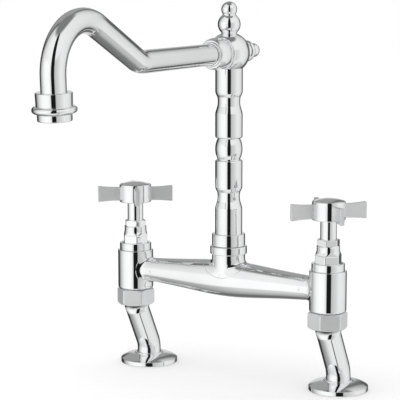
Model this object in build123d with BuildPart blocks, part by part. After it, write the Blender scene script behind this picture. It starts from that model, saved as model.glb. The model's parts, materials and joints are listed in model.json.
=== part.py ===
"""Bridge kitchen mixer tap: two pillar valves joined by a cast bridge, a turned swivel column
with a swan-shaped spout, cross handles, and cranked legs that stand on round deck flanges.

Origin: deck level, midway between the two threaded tails. +Z up, +X along the bridge,
the spout points to -Y at rest. Sizes are in millimetres.
"""

import os
from math import cos, radians, sin, sqrt, tan

from build123d import *

os.makedirs("parts", exist_ok=True)

# ---------------------------------------------------------------- driving sizes
# Layout and clearances
valve_centres = 180.0        # between the two valve axes, and between the two tails
leg_setback = 20.0           # the cranked legs carry the tap this far in front of its tails
seat_gap = 0.3               # between pieces that are screwed up to each other
slip_gap = 0.15              # round a piece that is pushed into a bore and stays there
running_gap = 0.05           # round a piece that turns in its bore
edge_break = 0.5             # small chamfer on turned edges

# Cranked leg and what clamps it to the deck
leg_radius = 10.48           # threaded tail: half-inch pipe thread, 20.955 mm over the crests
leg_tube_radius = 9.8        # plain tube above the flange
leg_bore_radius = 7.2
leg_tilt = 28.0              # slope of the cranked run, degrees from upright
leg_bend_radius = 20.0
leg_rise = 53.8              # deck to the underside of the union nut
tail_length = 60.0
deck_thickness = 30.0
thread_relief_length = 2.0
thread_relief_depth = 0.9
flange_radius = 23.85
flange_rim_height = 3.5
flange_dome_height = 4.2     # rise from the rim to the lip at the leg
flange_wall = 1.6
flange_lip_width = 1.1
flange_lip_height = 0.7
flange_crown_slope = 0.18    # fall of the dome where it leaves the lip
gasket_thickness = 1.5
gasket_margin = 2.2          # from the flange's edge to the gasket
deck_washer_thickness = 2.0
deck_washer_radius = 17.0
backnut_across_flats = 27.0
backnut_height = 8.0

# Union between leg and valve body
nut_across_flats = 27.7
nut_chamfer = 30.0           # cone that breaks the corners of every hexagon, degrees
nut_height = 13.4
nut_web = 2.4
union_thread_radius = 12.0
union_neck_radius = 8.6
union_collar_radius = 11.3
union_collar_height = 2.2
union_washer_thickness = 2.0

# Bridge casting
body_radius = 14.7
body_height = 32.6
body_top_edge = 0.6
body_foot_edge = 1.6
bridge_height = 16.8         # bridge axis above the foot of the valve bodies
bridge_middle_radius = 14.8
bridge_shoulder_share = 2 / 15   # of the valve centres: where the barrel runs into the flank
bridge_shoulder_radius = 13.6
bridge_flank_share = 4 / 15      # of the valve centres: the hollow of the flank
bridge_flank_radius = 11.45
bridge_end_radius = 9.4      # where it runs out inside the valve bodies
bridge_flare = 5.2           # concave corner between bridge and valve bodies
waterway_radius = 5.0
inlet_radius = 6.0
valve_bore_radius = 9.2
valve_seat_depth = 22.0      # from the body's top face down to the valve seat
neck_radius = 13.4
neck_flare = 5.8
neck_ring_radius = 14.9
neck_ring_height = 6.4
neck_ring_top = 27.2         # above the bridge axis
neck_ring_round = 1.2
socket_radius = 9.6
socket_depth = 24.0
grub_turn = 65.0             # from the front towards the right-hand valve, degrees
grub_radius = 2.0
grub_length = 4.0
grub_depth = 3.7             # grub screw axis below the ring's top
grub_sink = 0.9

# Headwork: bonnet, ceramic cartridge and spindle
bonnet_flange_radius = 13.1
bonnet_flange_height = 5.9
bonnet_skirt_flats = 19.0
bonnet_skirt_height = 6.5
bonnet_cove_height = 4.2
bonnet_shank_radius = 9.1
bonnet_shank_height = 3.2
bonnet_lip_flats = 16.3
bonnet_lip_height = 5.0
cartridge_shoulder_radius = 11.0
cartridge_shoulder_height = 2.0
cartridge_neck_radius = 6.6
cartridge_neck_rise = 14.0   # above the body's top face
cartridge_wall = 1.4
cartridge_window = 4.2
disc_thickness = 2.4
disc_port_radius = 1.9
disc_port_offset = 4.4
spindle_foot_height = 3.0
spindle_radius = 4.0
tongue_width = 3.0
tongue_height = 1.0
seal_radius = 7.0
seal_wall = 1.6
seal_height = 2.0
spindle_ring_section = 0.7
spindle_ring_height = 6.0    # seal ring above the spindle's foot

# Cross handle
sleeve_radius = 6.5
sleeve_rise = 15.1           # bonnet's top to the underside of the hub
sleeve_sink = 3.0            # how far the sleeve reaches down into the bonnet
hub_radius = 13.1
hub_height = 14.8
hub_rim_width = 1.1
hub_recess = 2.2
hub_web = 2.8                # between the spindle's end and the handle screw's head
hub_edge = 0.6
cap_dome = 2.3
blade_reach = 30.8
blade_thickness = 3.8
blade_root_height = 11.2
blade_tip_height = 13.4
blade_end_bulge = 0.7
blade_drop = 0.6             # blade's middle below the hub's middle
blade_edge = 0.5
handle_screw_radius = 2.0
handle_screw_head_radius = 3.6
handle_screw_head_height = 2.6
handle_screw_length = 8.0
handle_screw_key = 1.25

# Swivel column
column_radius = 11.0
column_bore_radius = 6.4
column_collar_radius = 13.42
column_collar_height = 9.8
column_lower = 20.9
column_waist = 17.0
column_middle = 19.7
column_bead = 21.4
column_upper = 18.2
column_top = 18.4
waist_radius = 8.95
waist_crease_radius = 9.4
waist_flare_share = 0.29     # of the waist's length: flare below, rounded shoulder above
waist_shoulder_share = 0.24
waist_shoulder_fall = 0.35
bead_groove_radius = 9.2
bead_shoulder = 2.2
bead_round_share = 0.7       # of the shoulder, where its rounding has fallen by an edge break
glide_ring_height = 1.4
glide_ring_radius = 12.2
column_ring_section = 0.9
column_ring_rise = 3.9       # lower seal ring above the spigot's end
column_ring_spacing = 6.5
grub_groove_depth = 1.0
spigot_nose = 8.0            # length of column held in the elbow ball
spigot_nose_radius = 8.0

# Elbow ball with finial and rear knob
ball_radius = 16.5
lobe_step_radius = 12.2
lobe_step_width = 1.2
lobe_radius = 12.9
lobe_end_radius = 10.9
lobe_reach = 28.4            # column axis to the front of the lobe
pipe_grip = 13.0             # length of pipe held in the lobe
pipe_ring_radius = 10.0
pipe_ring_width = 2.2
finial_foot_radius = 7.3
finial_neck_radius = 6.1
finial_ball_radius = 9.08
finial_waist_radius = 5.25
finial_top_radius = 6.28
finial_ball_rise = 7.7       # finial's foot to the big ball's centre
finial_top_rise = 11.7       # big ball's centre to the top ball's centre
knob_foot_radius = 6.8
knob_disc_radius = 8.7
knob_disc_start = 8.7        # ball's flat to the disc
knob_disc_width = 5.0
knob_stem_radius = 5.6
knob_neck_radius = 4.4
knob_ball_radius = 5.8
knob_ball_rise = 8.8         # disc's back face to the little ball's centre
stud_radius = 3.0
stud_length = 5.0

# Spout pipe
pipe_root_radius = 8.5
pipe_middle_radius = 8.7
pipe_mouth_radius = 9.05
pipe_wall = 1.2
spout_knee_radius = 22.0
spout_slope = 28.0
spout_arch_reach = 199.5     # column axis to the centre of the arch
spout_arch_drop = 2.2        # centre of the arch below the axis of the pipe's root
spout_arch_radius = 35.0
outlet_tilt = 3.0            # the mouth looks back towards the column by this angle
outlet_straight = 10.0       # arch's end to the outlet collar

# Outlet and aerator
outlet_collar_radius = 13.0
outlet_collar_height = 9.4
outlet_collar_taper = 0.25
outlet_grip = 7.0            # length of pipe held in the collar
outlet_shelf = 1.2           # web between the pipe's end and the aerator's washer
outlet_ring_radius = 15.75
outlet_ring_height = 5.0
aerator_radius = 12.15
aerator_height = 5.0
aerator_wall = 1.5
aerator_thread_radius = 10.6
aerator_sink = 1.0           # perforated plate behind the mouth
aerator_plate = 1.6
aerator_hole_radius = 1.1
aerator_inner_ring = 2.6
aerator_inner_holes = 5
aerator_outer_ring = 6.2
aerator_outer_holes = 10
aerator_washer_height = 1.5

# ---------------------------------------------------------------- worked-out places
UP = (0, 0, 1)
ALONG = (1, 0, 0)
side_of = {"left": -1, "right": 1}
blade_turn_of = {"left": 37.3, "right": 46.5}      # from the front, towards the right-hand valve
bonnet_turn_of = {"left": 38.0, "right": 14.5}
nut_turn_of = {"left": 52.0, "right": 6.0}

valve_y = -leg_setback
leg_head = leg_rise - seat_gap
flange_top = flange_rim_height + flange_dome_height + flange_lip_height
leg_bend_height = leg_head - leg_setback / tan(radians(leg_tilt))
union_top = leg_rise + nut_web + union_collar_height
spigot_foot = union_top + union_washer_thickness
body_foot = leg_rise + nut_height + seat_gap
body_top = body_foot + body_height
bridge_shoulder = valve_centres * bridge_shoulder_share
bridge_flank = valve_centres * bridge_flank_share
bridge_z = body_foot + bridge_height
ring_top = bridge_z + neck_ring_top
socket_floor = ring_top - socket_depth
valve_seat = body_top - valve_seat_depth

cartridge_foot = valve_seat + seal_height
moving_disc_foot = cartridge_foot + disc_thickness + running_gap
spindle_foot = moving_disc_foot + disc_thickness + running_gap
spindle_shoulder = spindle_foot + spindle_foot_height
disc_radius = valve_bore_radius - 2 * slip_gap - cartridge_wall
spindle_bore_radius = spindle_radius + running_gap

skirt_foot = body_top + bonnet_flange_height
cove_foot = skirt_foot + bonnet_skirt_height
shank_foot = cove_foot + bonnet_cove_height
lip_foot = shank_foot + bonnet_shank_height
bonnet_top = lip_foot + bonnet_lip_height
hub_foot = bonnet_top + sleeve_rise
hub_top = hub_foot + hub_height
cap_seat = hub_top - hub_recess
screw_seat = cap_seat - handle_screw_head_height - seat_gap
spindle_top = screw_seat - hub_web - seat_gap

column_foot = ring_top + seat_gap
spigot_radius = socket_radius - running_gap
spigot_end = socket_floor + seat_gap
glide_ring_foot = column_foot - running_gap - glide_ring_height
collar_top = column_foot + column_collar_height
lower_waist_foot = collar_top + column_lower
bead_foot = lower_waist_foot + column_waist + column_middle
upper_waist_foot = bead_foot + column_bead + column_upper
column_head = upper_waist_foot + column_waist + column_top
ball_z = column_head + sqrt(ball_radius**2 - column_radius**2)
finial_foot = ball_z + sqrt(ball_radius**2 - finial_foot_radius**2)
knob_foot = sqrt(ball_radius**2 - knob_foot_radius**2)
lobe_start = sqrt(ball_radius**2 - lobe_step_radius**2)
pipe_seat = lobe_reach - pipe_grip
knob_disc_foot = knob_foot + knob_disc_start

arch_start_reach = spout_arch_reach - spout_arch_radius * sin(radians(spout_slope))
arch_start_rise = spout_arch_radius * cos(radians(spout_slope)) - spout_arch_drop
knee_reach = arch_start_reach - arch_start_rise / tan(radians(spout_slope))
knee_tangent = spout_knee_radius * tan(radians(spout_slope / 2))
outlet_reach = spout_arch_reach + spout_arch_radius * cos(radians(outlet_tilt))
outlet_drop = spout_arch_drop + spout_arch_radius * sin(radians(outlet_tilt))
OUTLET_WAY = (0, sin(radians(outlet_tilt)), -cos(radians(outlet_tilt)))
pipe_end = outlet_straight + outlet_grip
washer_seat = pipe_end + seat_gap + outlet_shelf
outlet_ring_top = outlet_straight + outlet_collar_height
outlet_ring_foot = outlet_ring_top + outlet_ring_height
aerator_mouth = outlet_ring_foot + seat_gap + aerator_height


def axis_at(x, y):
    """The upright axis through (x, y)."""
    return Axis((x, y, 0), UP)


def profile_plane(x, y):
    """Upright plane through (x, y) for half profiles: its X is the radius, its Y the height."""
    return Plane(origin=(x, y, 0), x_dir=ALONG, z_dir=(0, -1, 0))


def level(x, y, z, turn=0.0):
    """Horizontal plane at height z over (x, y); turn swings its X axis from the front to +X."""
    heading = (sin(radians(turn)), -cos(radians(turn)), 0) if turn else ALONG
    return Plane(origin=(x, y, z), x_dir=heading, z_dir=UP)


def keep(piece, name):
    """Labels a finished piece and writes it under that name."""
    piece.part.label = name
    export_step(piece.part, f"parts/{name}.step")


def turn_steps(x, y, steps, mode=Mode.ADD):
    """Turns plain steps about the upright axis through (x, y): (radius, from, to) each."""
    for radius, low, high in steps:
        with Locations((x, y, low)):
            Cylinder(radius, high - low, align=(Align.CENTER, Align.CENTER, Align.MIN), mode=mode)


def make_ring(name, x, y, inner, outer, low, high):
    """A flat round ring, such as a washer or a seal."""
    with BuildPart() as ring:
        turn_steps(x, y, [(outer, low, high)])
        turn_steps(x, y, [(inner, low, high)], mode=Mode.SUBTRACT)
    keep(ring, name)


def make_round_ring(name, x, y, middle, section, heights):
    """Rubber rings of round section, one solid at each height."""
    with BuildPart() as rings:
        for height in heights:
            with BuildSketch(profile_plane(x, y)):
                with Locations((middle, height)):
                    Circle(section)
            revolve(axis=axis_at(x, y))
    keep(rings, name)


def hexagon_bar(x, y, z, turn, across_flats, height):
    """A hexagon whose corners are broken by a 30 degree cone at both ends."""
    flat = across_flats / 2
    corner = across_flats / sqrt(3)
    cone = (corner - flat) * tan(radians(nut_chamfer))
    with BuildPart() as hexagon:
        with BuildSketch(level(x, y, z, turn)):
            RegularPolygon(corner, 6)
        extrude(amount=height)
        with BuildSketch(profile_plane(x, y)):
            with BuildLine():
                Polyline((0, z), (flat, z), (corner, z + cone), (corner, z + height - cone),
                         (flat, z + height), (0, z + height), close=True)
            make_face()
        revolve(axis=axis_at(x, y), mode=Mode.INTERSECT)
    return hexagon.part


# ---------------------------------------------------------------- legs and deck fixings
def make_leg(side, x):
    """Cranked tube: threaded tail through the deck, sloping run, turned neck with a collar."""
    tilt = radians(leg_tilt)
    tangent = leg_bend_radius * tan(tilt / 2)
    bend_foot = leg_bend_height - tangent
    bend_axis = Axis((x, -leg_bend_radius, bend_foot), ALONG)
    slope_y, slope_z = -tangent * sin(tilt), leg_bend_height + tangent * cos(tilt)
    slope_foot = Plane(origin=(x, slope_y, slope_z), x_dir=ALONG, z_dir=(0, -sin(tilt), cos(tilt)))
    run = (leg_head - slope_z) / cos(tilt)
    relief_top = -deck_thickness - deck_washer_thickness - backnut_height - seat_gap
    with BuildPart() as leg:
        for radius, spare, mode in ((leg_tube_radius, leg_tube_radius, Mode.ADD),
                                    (leg_bore_radius, 0, Mode.SUBTRACT)):
            turn_steps(x, 0, [(radius, -tail_length, bend_foot)], mode=mode)
            with BuildSketch(level(x, 0, bend_foot)):
                Circle(radius)
            revolve(axis=bend_axis, revolution_arc=leg_tilt, mode=mode)
            with BuildSketch(slope_foot):
                Circle(radius)
            extrude(amount=run + spare, mode=mode)
            if mode is Mode.ADD:
                split(bisect_by=level(x, 0, leg_head), keep=Keep.BOTTOM)
                turn_steps(x, 0, [(leg_radius, -tail_length, flange_top)])
                turn_steps(x, valve_y, [(union_neck_radius, leg_head, union_top),
                                        (union_collar_radius, union_top - union_collar_height,
                                         union_top)])
        turn_steps(x, valve_y, [(inlet_radius, leg_head - leg_bore_radius, union_top)],
                   mode=Mode.SUBTRACT)
        with BuildSketch(level(x, 0, relief_top - thread_relief_length)):
            Circle(leg_radius + edge_break)
            Circle(leg_radius - thread_relief_depth, mode=Mode.SUBTRACT)
        extrude(amount=thread_relief_length, mode=Mode.SUBTRACT)
    keep(leg, f"{side}_leg")


def make_flange(side, x):
    """Domed deck flange with a short rim, a lip round the leg and a hollow underside."""
    hole = leg_radius + slip_gap
    lip = hole + flange_lip_width
    crown = flange_rim_height + flange_dome_height
    room = flange_radius - gasket_margin + slip_gap
    room_height = gasket_thickness + slip_gap
    with BuildPart() as flange:
        with BuildSketch(profile_plane(x, 0)):
            with BuildLine():
                Polyline((flange_radius, flange_rim_height), (flange_radius, 0), (room, 0),
                         (room, room_height), (hole, crown - flange_wall),
                         (hole, crown + flange_lip_height), (lip, crown + flange_lip_height),
                         (lip, crown))
                TangentArc((lip, crown), (flange_radius, flange_rim_height),
                           tangent=(1, -flange_crown_slope))
            make_face()
        revolve(axis=axis_at(x, 0))
    keep(flange, f"{side}_flange")


def make_union_nut(side, x):
    """Hexagon union nut: it hooks under the leg's collar and screws up the body's spigot."""
    bar = hexagon_bar(x, valve_y, leg_rise, nut_turn_of[side], nut_across_flats, nut_height)
    with BuildPart() as nut:
        add(bar)
        turn_steps(x, valve_y,
                   [(union_neck_radius + slip_gap, leg_rise, leg_rise + nut_web),
                    (union_thread_radius + slip_gap, leg_rise + nut_web, leg_rise + nut_height)],
                   mode=Mode.SUBTRACT)
    keep(nut, f"{side}_union_nut")


def make_backnut(side, x):
    """Hexagon backnut that pulls the flange down on the deck."""
    foot = -deck_thickness - deck_washer_thickness - backnut_height
    bar = hexagon_bar(x, 0, foot, 0, backnut_across_flats, backnut_height)
    with BuildPart() as backnut:
        add(bar)
        turn_steps(x, 0, [(leg_radius + slip_gap, foot, foot + backnut_height)],
                   mode=Mode.SUBTRACT)
    keep(backnut, f"{side}_backnut")


def make_deck_fixings(side, x):
    """Everything of one leg from the union down."""
    make_leg(side, x)
    make_flange(side, x)
    make_union_nut(side, x)
    make_backnut(side, x)
    make_ring(f"{side}_flange_gasket", x, 0, leg_radius + seat_gap,
              flange_radius - gasket_margin, 0, gasket_thickness)
    make_ring(f"{side}_deck_washer", x, 0, leg_radius + slip_gap, deck_washer_radius,
              -deck_thickness - deck_washer_thickness, -deck_thickness)
    make_ring(f"{side}_union_washer", x, valve_y, inlet_radius, union_collar_radius - seat_gap,
              union_top, spigot_foot)


# ---------------------------------------------------------------- bridge casting
def make_bridge():
    """One casting: two valve bodies, the spindle-shaped bridge and the neck for the column."""
    half = valve_centres / 2
    reach = half - body_radius / 2
    lengthwise = Plane(origin=(0, valve_y, bridge_z), x_dir=ALONG, z_dir=(0, -1, 0))
    grub_height = ring_top - grub_depth
    grub_out = (sin(radians(grub_turn)), -cos(radians(grub_turn)), 0)
    with BuildPart() as bridge_body:
        with BuildSketch(lengthwise):
            with BuildLine():
                Spline((-reach, bridge_end_radius), (-bridge_flank, bridge_flank_radius),
                       (-bridge_shoulder, bridge_shoulder_radius), (0, bridge_middle_radius),
                       (bridge_shoulder, bridge_shoulder_radius),
                       (bridge_flank, bridge_flank_radius), (reach, bridge_end_radius))
                Polyline((reach, bridge_end_radius), (reach, 0), (-reach, 0),
                         (-reach, bridge_end_radius))
            make_face()
        revolve(axis=Axis((0, valve_y, bridge_z), ALONG))
        turn_steps(0, valve_y, [(neck_radius, bridge_z, ring_top - neck_ring_height / 2)])
        for x in (-half, half):
            with BuildSketch(profile_plane(x, valve_y)):
                with BuildLine():
                    Polyline((0, body_foot), (body_radius, body_foot), (body_radius, body_top),
                             (0, body_top), close=True)
                make_face()
                fillet(vertices().group_by(Axis.X)[-1].sort_by(Axis.Y)[0], body_foot_edge)
                fillet(vertices().group_by(Axis.X)[-1].sort_by(Axis.Y)[-1], body_top_edge)
            revolve(axis=axis_at(x, valve_y))
        joins = edges().filter_by(GeomType.BSPLINE)
        fillet(joins.filter_by(lambda join: abs(join.center().X) < neck_radius
                               and join.length < half), neck_flare)
        joins = edges().filter_by(GeomType.BSPLINE)
        fillet(joins.filter_by(lambda join: abs(join.center().X) > half - body_radius
                               and join.length > body_radius), bridge_flare)
        with BuildSketch(profile_plane(0, valve_y)):
            with BuildLine():
                Polyline((0, ring_top - neck_ring_height), (neck_ring_radius, ring_top - neck_ring_height),
                         (neck_ring_radius, ring_top), (0, ring_top), close=True)
            make_face()
            fillet(vertices().group_by(Axis.X)[-1].sort_by(Axis.Y)[-1], neck_ring_round)
        revolve(axis=axis_at(0, valve_y))
        with BuildSketch(Plane(origin=(-half, valve_y, bridge_z), x_dir=(0, 1, 0), z_dir=ALONG)):
            Circle(waterway_radius)
        extrude(amount=valve_centres, mode=Mode.SUBTRACT)
        for x in (-half, half):
            turn_steps(x, valve_y, [(union_thread_radius, spigot_foot, body_foot + edge_break)])
            turn_steps(x, valve_y, [(inlet_radius, spigot_foot, valve_seat),
                                    (valve_bore_radius, valve_seat, body_top)], mode=Mode.SUBTRACT)
        turn_steps(0, valve_y, [(socket_radius, socket_floor, ring_top),
                                (glide_ring_radius + slip_gap, glide_ring_foot, ring_top)],
                   mode=Mode.SUBTRACT)
        with BuildSketch(Plane(origin=(0, valve_y, grub_height), x_dir=UP, z_dir=grub_out)):
            Circle(grub_radius)
        extrude(amount=neck_ring_radius * 2, mode=Mode.SUBTRACT)
    keep(bridge_body, "bridge_body")


def make_grub_screw():
    """Socket grub screw in the neck's ring: its nose runs in the column's groove."""
    grub_out = (sin(radians(grub_turn)), -cos(radians(grub_turn)), 0)
    nose_end = spigot_radius - grub_groove_depth + seat_gap
    head_end = neck_ring_radius - grub_sink
    shoulder = head_end - grub_length
    with BuildPart() as grub_screw:
        for start, end, radius in ((nose_end, head_end, grub_radius / 2),
                                   (shoulder, head_end, grub_radius - running_gap)):
            place = (grub_out[0] * start, valve_y + grub_out[1] * start, ring_top - grub_depth)
            with BuildSketch(Plane(origin=place, x_dir=UP, z_dir=grub_out)):
                Circle(radius)
            extrude(amount=end - start)
        place = (grub_out[0] * head_end, valve_y + grub_out[1] * head_end, ring_top - grub_depth)
        with BuildSketch(Plane(origin=place, x_dir=UP, z_dir=grub_out)):
            RegularPolygon(grub_radius / 2, 6)
        extrude(amount=-grub_length / 2, mode=Mode.SUBTRACT)
    keep(grub_screw, "grub_screw")


# ---------------------------------------------------------------- headwork
def make_bonnet(side, x):
    """Bonnet: round flange, hexagon skirt, cove, round shank and a hexagon lip."""
    skirt = hexagon_bar(x, valve_y, skirt_foot, bonnet_turn_of[side], bonnet_skirt_flats,
                        bonnet_skirt_height + bonnet_cove_height)
    lip = hexagon_bar(x, valve_y, lip_foot, bonnet_turn_of[side], bonnet_lip_flats,
                      bonnet_lip_height)
    flange_inner = cartridge_shoulder_radius + slip_gap
    shoulder_top = body_top + cartridge_shoulder_height + slip_gap
    with BuildPart() as bonnet:
        add(skirt)
        with BuildSketch(profile_plane(x, valve_y)):
            with BuildLine():
                Polyline((0, shank_foot), (0, skirt_foot), (bonnet_skirt_flats / sqrt(3), skirt_foot),
                         (bonnet_skirt_flats / sqrt(3), cove_foot))
                TangentArc((bonnet_shank_radius, shank_foot),
                           (bonnet_skirt_flats / sqrt(3), cove_foot), tangent=(0, -1))
                Line((0, shank_foot), (bonnet_shank_radius, shank_foot))
            make_face()
        revolve(axis=axis_at(x, valve_y), mode=Mode.INTERSECT)
        with BuildSketch(profile_plane(x, valve_y)):
            with BuildLine():
                Polyline((0, body_top), (bonnet_flange_radius, body_top),
                         (bonnet_flange_radius, skirt_foot), (0, skirt_foot), close=True)
            make_face()
            chamfer(vertices().group_by(Axis.X)[-1].sort_by(Axis.Y)[-1], edge_break)
        revolve(axis=axis_at(x, valve_y))
        turn_steps(x, valve_y, [(bonnet_shank_radius, skirt_foot, lip_foot)])
        add(lip)
        chamber = cartridge_neck_radius + slip_gap
        sleeve_room = sleeve_radius + seat_gap
        turn_steps(x, valve_y,
                   [(flange_inner, body_top, shoulder_top),
                    (chamber, shoulder_top, body_top + cartridge_neck_rise + seat_gap),
                    (sleeve_room, body_top + cartridge_neck_rise, bonnet_top)],
                   mode=Mode.SUBTRACT)
    keep(bonnet, f"{side}_bonnet")


def make_cartridge(side, x):
    """Brass cartridge body: windowed barrel, shoulder on the casting, neck round the spindle."""
    shoulder_top = body_top + cartridge_shoulder_height
    with BuildPart() as cartridge:
        turn_steps(x, valve_y,
                   [(valve_bore_radius - slip_gap, cartridge_foot, body_top),
                    (cartridge_shoulder_radius, body_top, shoulder_top),
                    (cartridge_neck_radius, shoulder_top, body_top + cartridge_neck_rise)])
        turn_steps(x, valve_y,
                   [(disc_radius + running_gap, cartridge_foot, spindle_shoulder + running_gap),
                    (spindle_bore_radius, spindle_shoulder, body_top + cartridge_neck_rise)],
                   mode=Mode.SUBTRACT)
        with Locations((x, valve_y, moving_disc_foot + cartridge_window / 2)):
            Box(4 * valve_bore_radius, cartridge_window, cartridge_window, mode=Mode.SUBTRACT)
    keep(cartridge, f"{side}_cartridge")


def make_disc(name, x, foot, slot):
    """Ceramic disc with two ports; the turning one has a slot for the spindle's tongue."""
    with BuildPart() as disc:
        turn_steps(x, valve_y, [(disc_radius, foot, foot + disc_thickness)])
        with BuildSketch(level(x, valve_y, foot)):
            with PolarLocations(disc_port_offset, 2):
                Circle(disc_port_radius)
        extrude(amount=disc_thickness, mode=Mode.SUBTRACT)
        if slot:
            with BuildSketch(level(x, valve_y, foot + disc_thickness)):
                Rectangle(tongue_width + 2 * slip_gap, 3 * disc_radius)
            extrude(amount=-tongue_height, mode=Mode.SUBTRACT)
    keep(disc, name)


def make_spindle(side, x):
    """Spindle: foot and tongue on the turning disc, ring groove, threaded end for the handle."""
    ring_height = spindle_shoulder + spindle_ring_height
    groove = spindle_radius - 2 * spindle_ring_section - running_gap
    reach = spindle_ring_section + slip_gap
    screw_end = screw_seat - handle_screw_length
    with BuildPart() as spindle:
        turn_steps(x, valve_y, [(disc_radius, spindle_foot, spindle_shoulder),
                                (spindle_radius, spindle_shoulder, ring_height - reach),
                                (groove, ring_height - reach, ring_height + reach),
                                (spindle_radius, ring_height + reach, spindle_top)])
        with BuildSketch(level(x, valve_y, spindle_foot)):
            Rectangle(tongue_width, 2 * disc_port_offset)
        extrude(amount=-tongue_height + running_gap)
        turn_steps(x, valve_y, [(handle_screw_radius + slip_gap, screw_end - seat_gap, spindle_top)],
                   mode=Mode.SUBTRACT)
    keep(spindle, f"{side}_spindle")


def make_headwork(side, x):
    """Cartridge, discs, seals and bonnet of one valve."""
    make_bonnet(side, x)
    make_cartridge(side, x)
    make_ring(f"{side}_seat_seal", x, valve_y, seal_radius - seal_wall, seal_radius, valve_seat,
              cartridge_foot)
    make_disc(f"{side}_fixed_disc", x, cartridge_foot, slot=False)
    make_disc(f"{side}_turning_disc", x, moving_disc_foot, slot=True)
    make_spindle(side, x)
    make_round_ring(f"{side}_spindle_ring", x, valve_y, spindle_radius - spindle_ring_section,
                    spindle_ring_section, [spindle_shoulder + spindle_ring_height])


# ---------------------------------------------------------------- cross handles
def make_crosshead(side, x):
    """Hub with four flat flared blades, one casting."""
    middle = (hub_foot + hub_top) / 2 - blade_drop
    root = hub_radius - 2 * hub_rim_width
    root_half = blade_root_height / 2
    tip_half = blade_tip_height / 2
    neck = hub_radius + (blade_reach - hub_radius) / 3
    with BuildPart() as crosshead:
        for quarter in range(4):
            turn = blade_turn_of[side] + 90 * quarter
            out = (sin(radians(turn)), -cos(radians(turn)), 0)
            across = (-out[1], out[0], 0)
            blade_plane = Plane(origin=(x, valve_y, middle), x_dir=out,
                                z_dir=(-across[0], -across[1], 0))
            with BuildSketch(blade_plane):
                with BuildLine():
                    ThreePointArc((root, root_half), (neck, root_half), (blade_reach, tip_half))
                    ThreePointArc((blade_reach, tip_half), (blade_reach + blade_end_bulge, 0),
                                  (blade_reach, -tip_half))
                    ThreePointArc((blade_reach, -tip_half), (neck, -root_half), (root, -root_half))
                    Line((root, -root_half), (root, root_half))
                make_face()
            extrude(amount=blade_thickness / 2, both=True)
        tips = edges().filter_by(lambda edge: axis_distance(edge.center(), x) > neck)
        chamfer(tips, blade_edge)
        with BuildSketch(profile_plane(x, valve_y)):
            with BuildLine():
                Polyline((0, hub_foot), (hub_radius, hub_foot), (hub_radius, hub_top),
                         (0, hub_top), close=True)
            make_face()
            fillet(vertices().group_by(Axis.X)[-1], hub_edge)
        revolve(axis=axis_at(x, valve_y))
        turn_steps(x, valve_y,
                   [(spindle_radius + slip_gap, hub_foot, spindle_top + seat_gap),
                    (handle_screw_radius + slip_gap, spindle_top, screw_seat),
                    (handle_screw_head_radius + seat_gap, screw_seat, cap_seat),
                    (hub_radius - hub_rim_width, cap_seat, hub_top)],
                   mode=Mode.SUBTRACT)
    keep(crosshead, f"{side}_crosshead")


def axis_distance(point, x):
    """Distance of a point from the valve axis at x, seen from above."""
    return sqrt((point.X - x)**2 + (point.Y - valve_y)**2)


def make_cap(side, x):
    """Plain domed cap pressed into the top of the hub."""
    edge = hub_radius - hub_rim_width - slip_gap
    with BuildPart() as cap:
        with BuildSketch(profile_plane(x, valve_y)):
            with BuildLine():
                Polyline((0, hub_top + cap_dome), (0, cap_seat), (edge, cap_seat), (edge, hub_top))
                TangentArc((0, hub_top + cap_dome), (edge, hub_top), tangent=(1, 0))
            make_face()
        revolve(axis=axis_at(x, valve_y))
    keep(cap, f"{side}_cap")


def make_handle_screw(side, x):
    """Socket screw that holds the crosshead down on the spindle."""
    head_top = screw_seat + handle_screw_head_height
    with BuildPart() as screw:
        turn_steps(x, valve_y, [(handle_screw_head_radius, screw_seat, head_top),
                                (handle_screw_radius, screw_seat - handle_screw_length,
                                 screw_seat)])
        with BuildSketch(level(x, valve_y, head_top)):
            RegularPolygon(handle_screw_key, 6)
        extrude(amount=-handle_screw_head_height / 2, mode=Mode.SUBTRACT)
    keep(screw, f"{side}_handle_screw")


def make_handle(side, x):
    """Everything that turns with one cross handle outside the bonnet."""
    make_crosshead(side, x)
    make_cap(side, x)
    make_handle_screw(side, x)
    make_ring(f"{side}_sleeve", x, valve_y, spindle_radius + slip_gap, sleeve_radius,
              bonnet_top - sleeve_sink, hub_foot)


# ---------------------------------------------------------------- swivel column
def waist(foot):
    """Outline of one drawn-in stretch of the column, from its foot up."""
    top = foot + column_waist
    low_crease = foot + column_waist * waist_flare_share
    high_crease = top - column_waist * waist_shoulder_share
    Polyline((column_radius, foot), (column_radius - edge_break / 2, foot + edge_break),
             (waist_crease_radius, low_crease))
    ThreePointArc((waist_crease_radius, low_crease),
                  (waist_radius, (low_crease + high_crease) / 2), (waist_crease_radius, high_crease))
    ThreePointArc((waist_crease_radius, high_crease),
                  (column_radius - waist_shoulder_fall, (high_crease + top) / 2), (column_radius, top))


def bead(foot):
    """Outline of the ball bead between its two grooves, from its foot up."""
    top = foot + column_bead
    ThreePointArc((column_radius, foot), (column_radius - edge_break, foot + bead_shoulder * bead_round_share),
                  (bead_groove_radius, foot + bead_shoulder))
    Line((bead_groove_radius, foot + bead_shoulder), (bead_groove_radius, foot + bead_shoulder + edge_break))
    ThreePointArc((bead_groove_radius, foot + bead_shoulder + edge_break),
                  (column_radius, foot + column_bead / 2),
                  (bead_groove_radius, top - bead_shoulder - edge_break))
    Line((bead_groove_radius, top - bead_shoulder - edge_break), (bead_groove_radius, top - bead_shoulder))
    ThreePointArc((bead_groove_radius, top - bead_shoulder),
                  (column_radius - edge_break, top - bead_shoulder * bead_round_share), (column_radius, top))


def column_ring_heights():
    """Heights of the two seal rings on the column's spigot."""
    lower = spigot_end + column_ring_rise
    return [lower, lower + column_ring_spacing]


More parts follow.
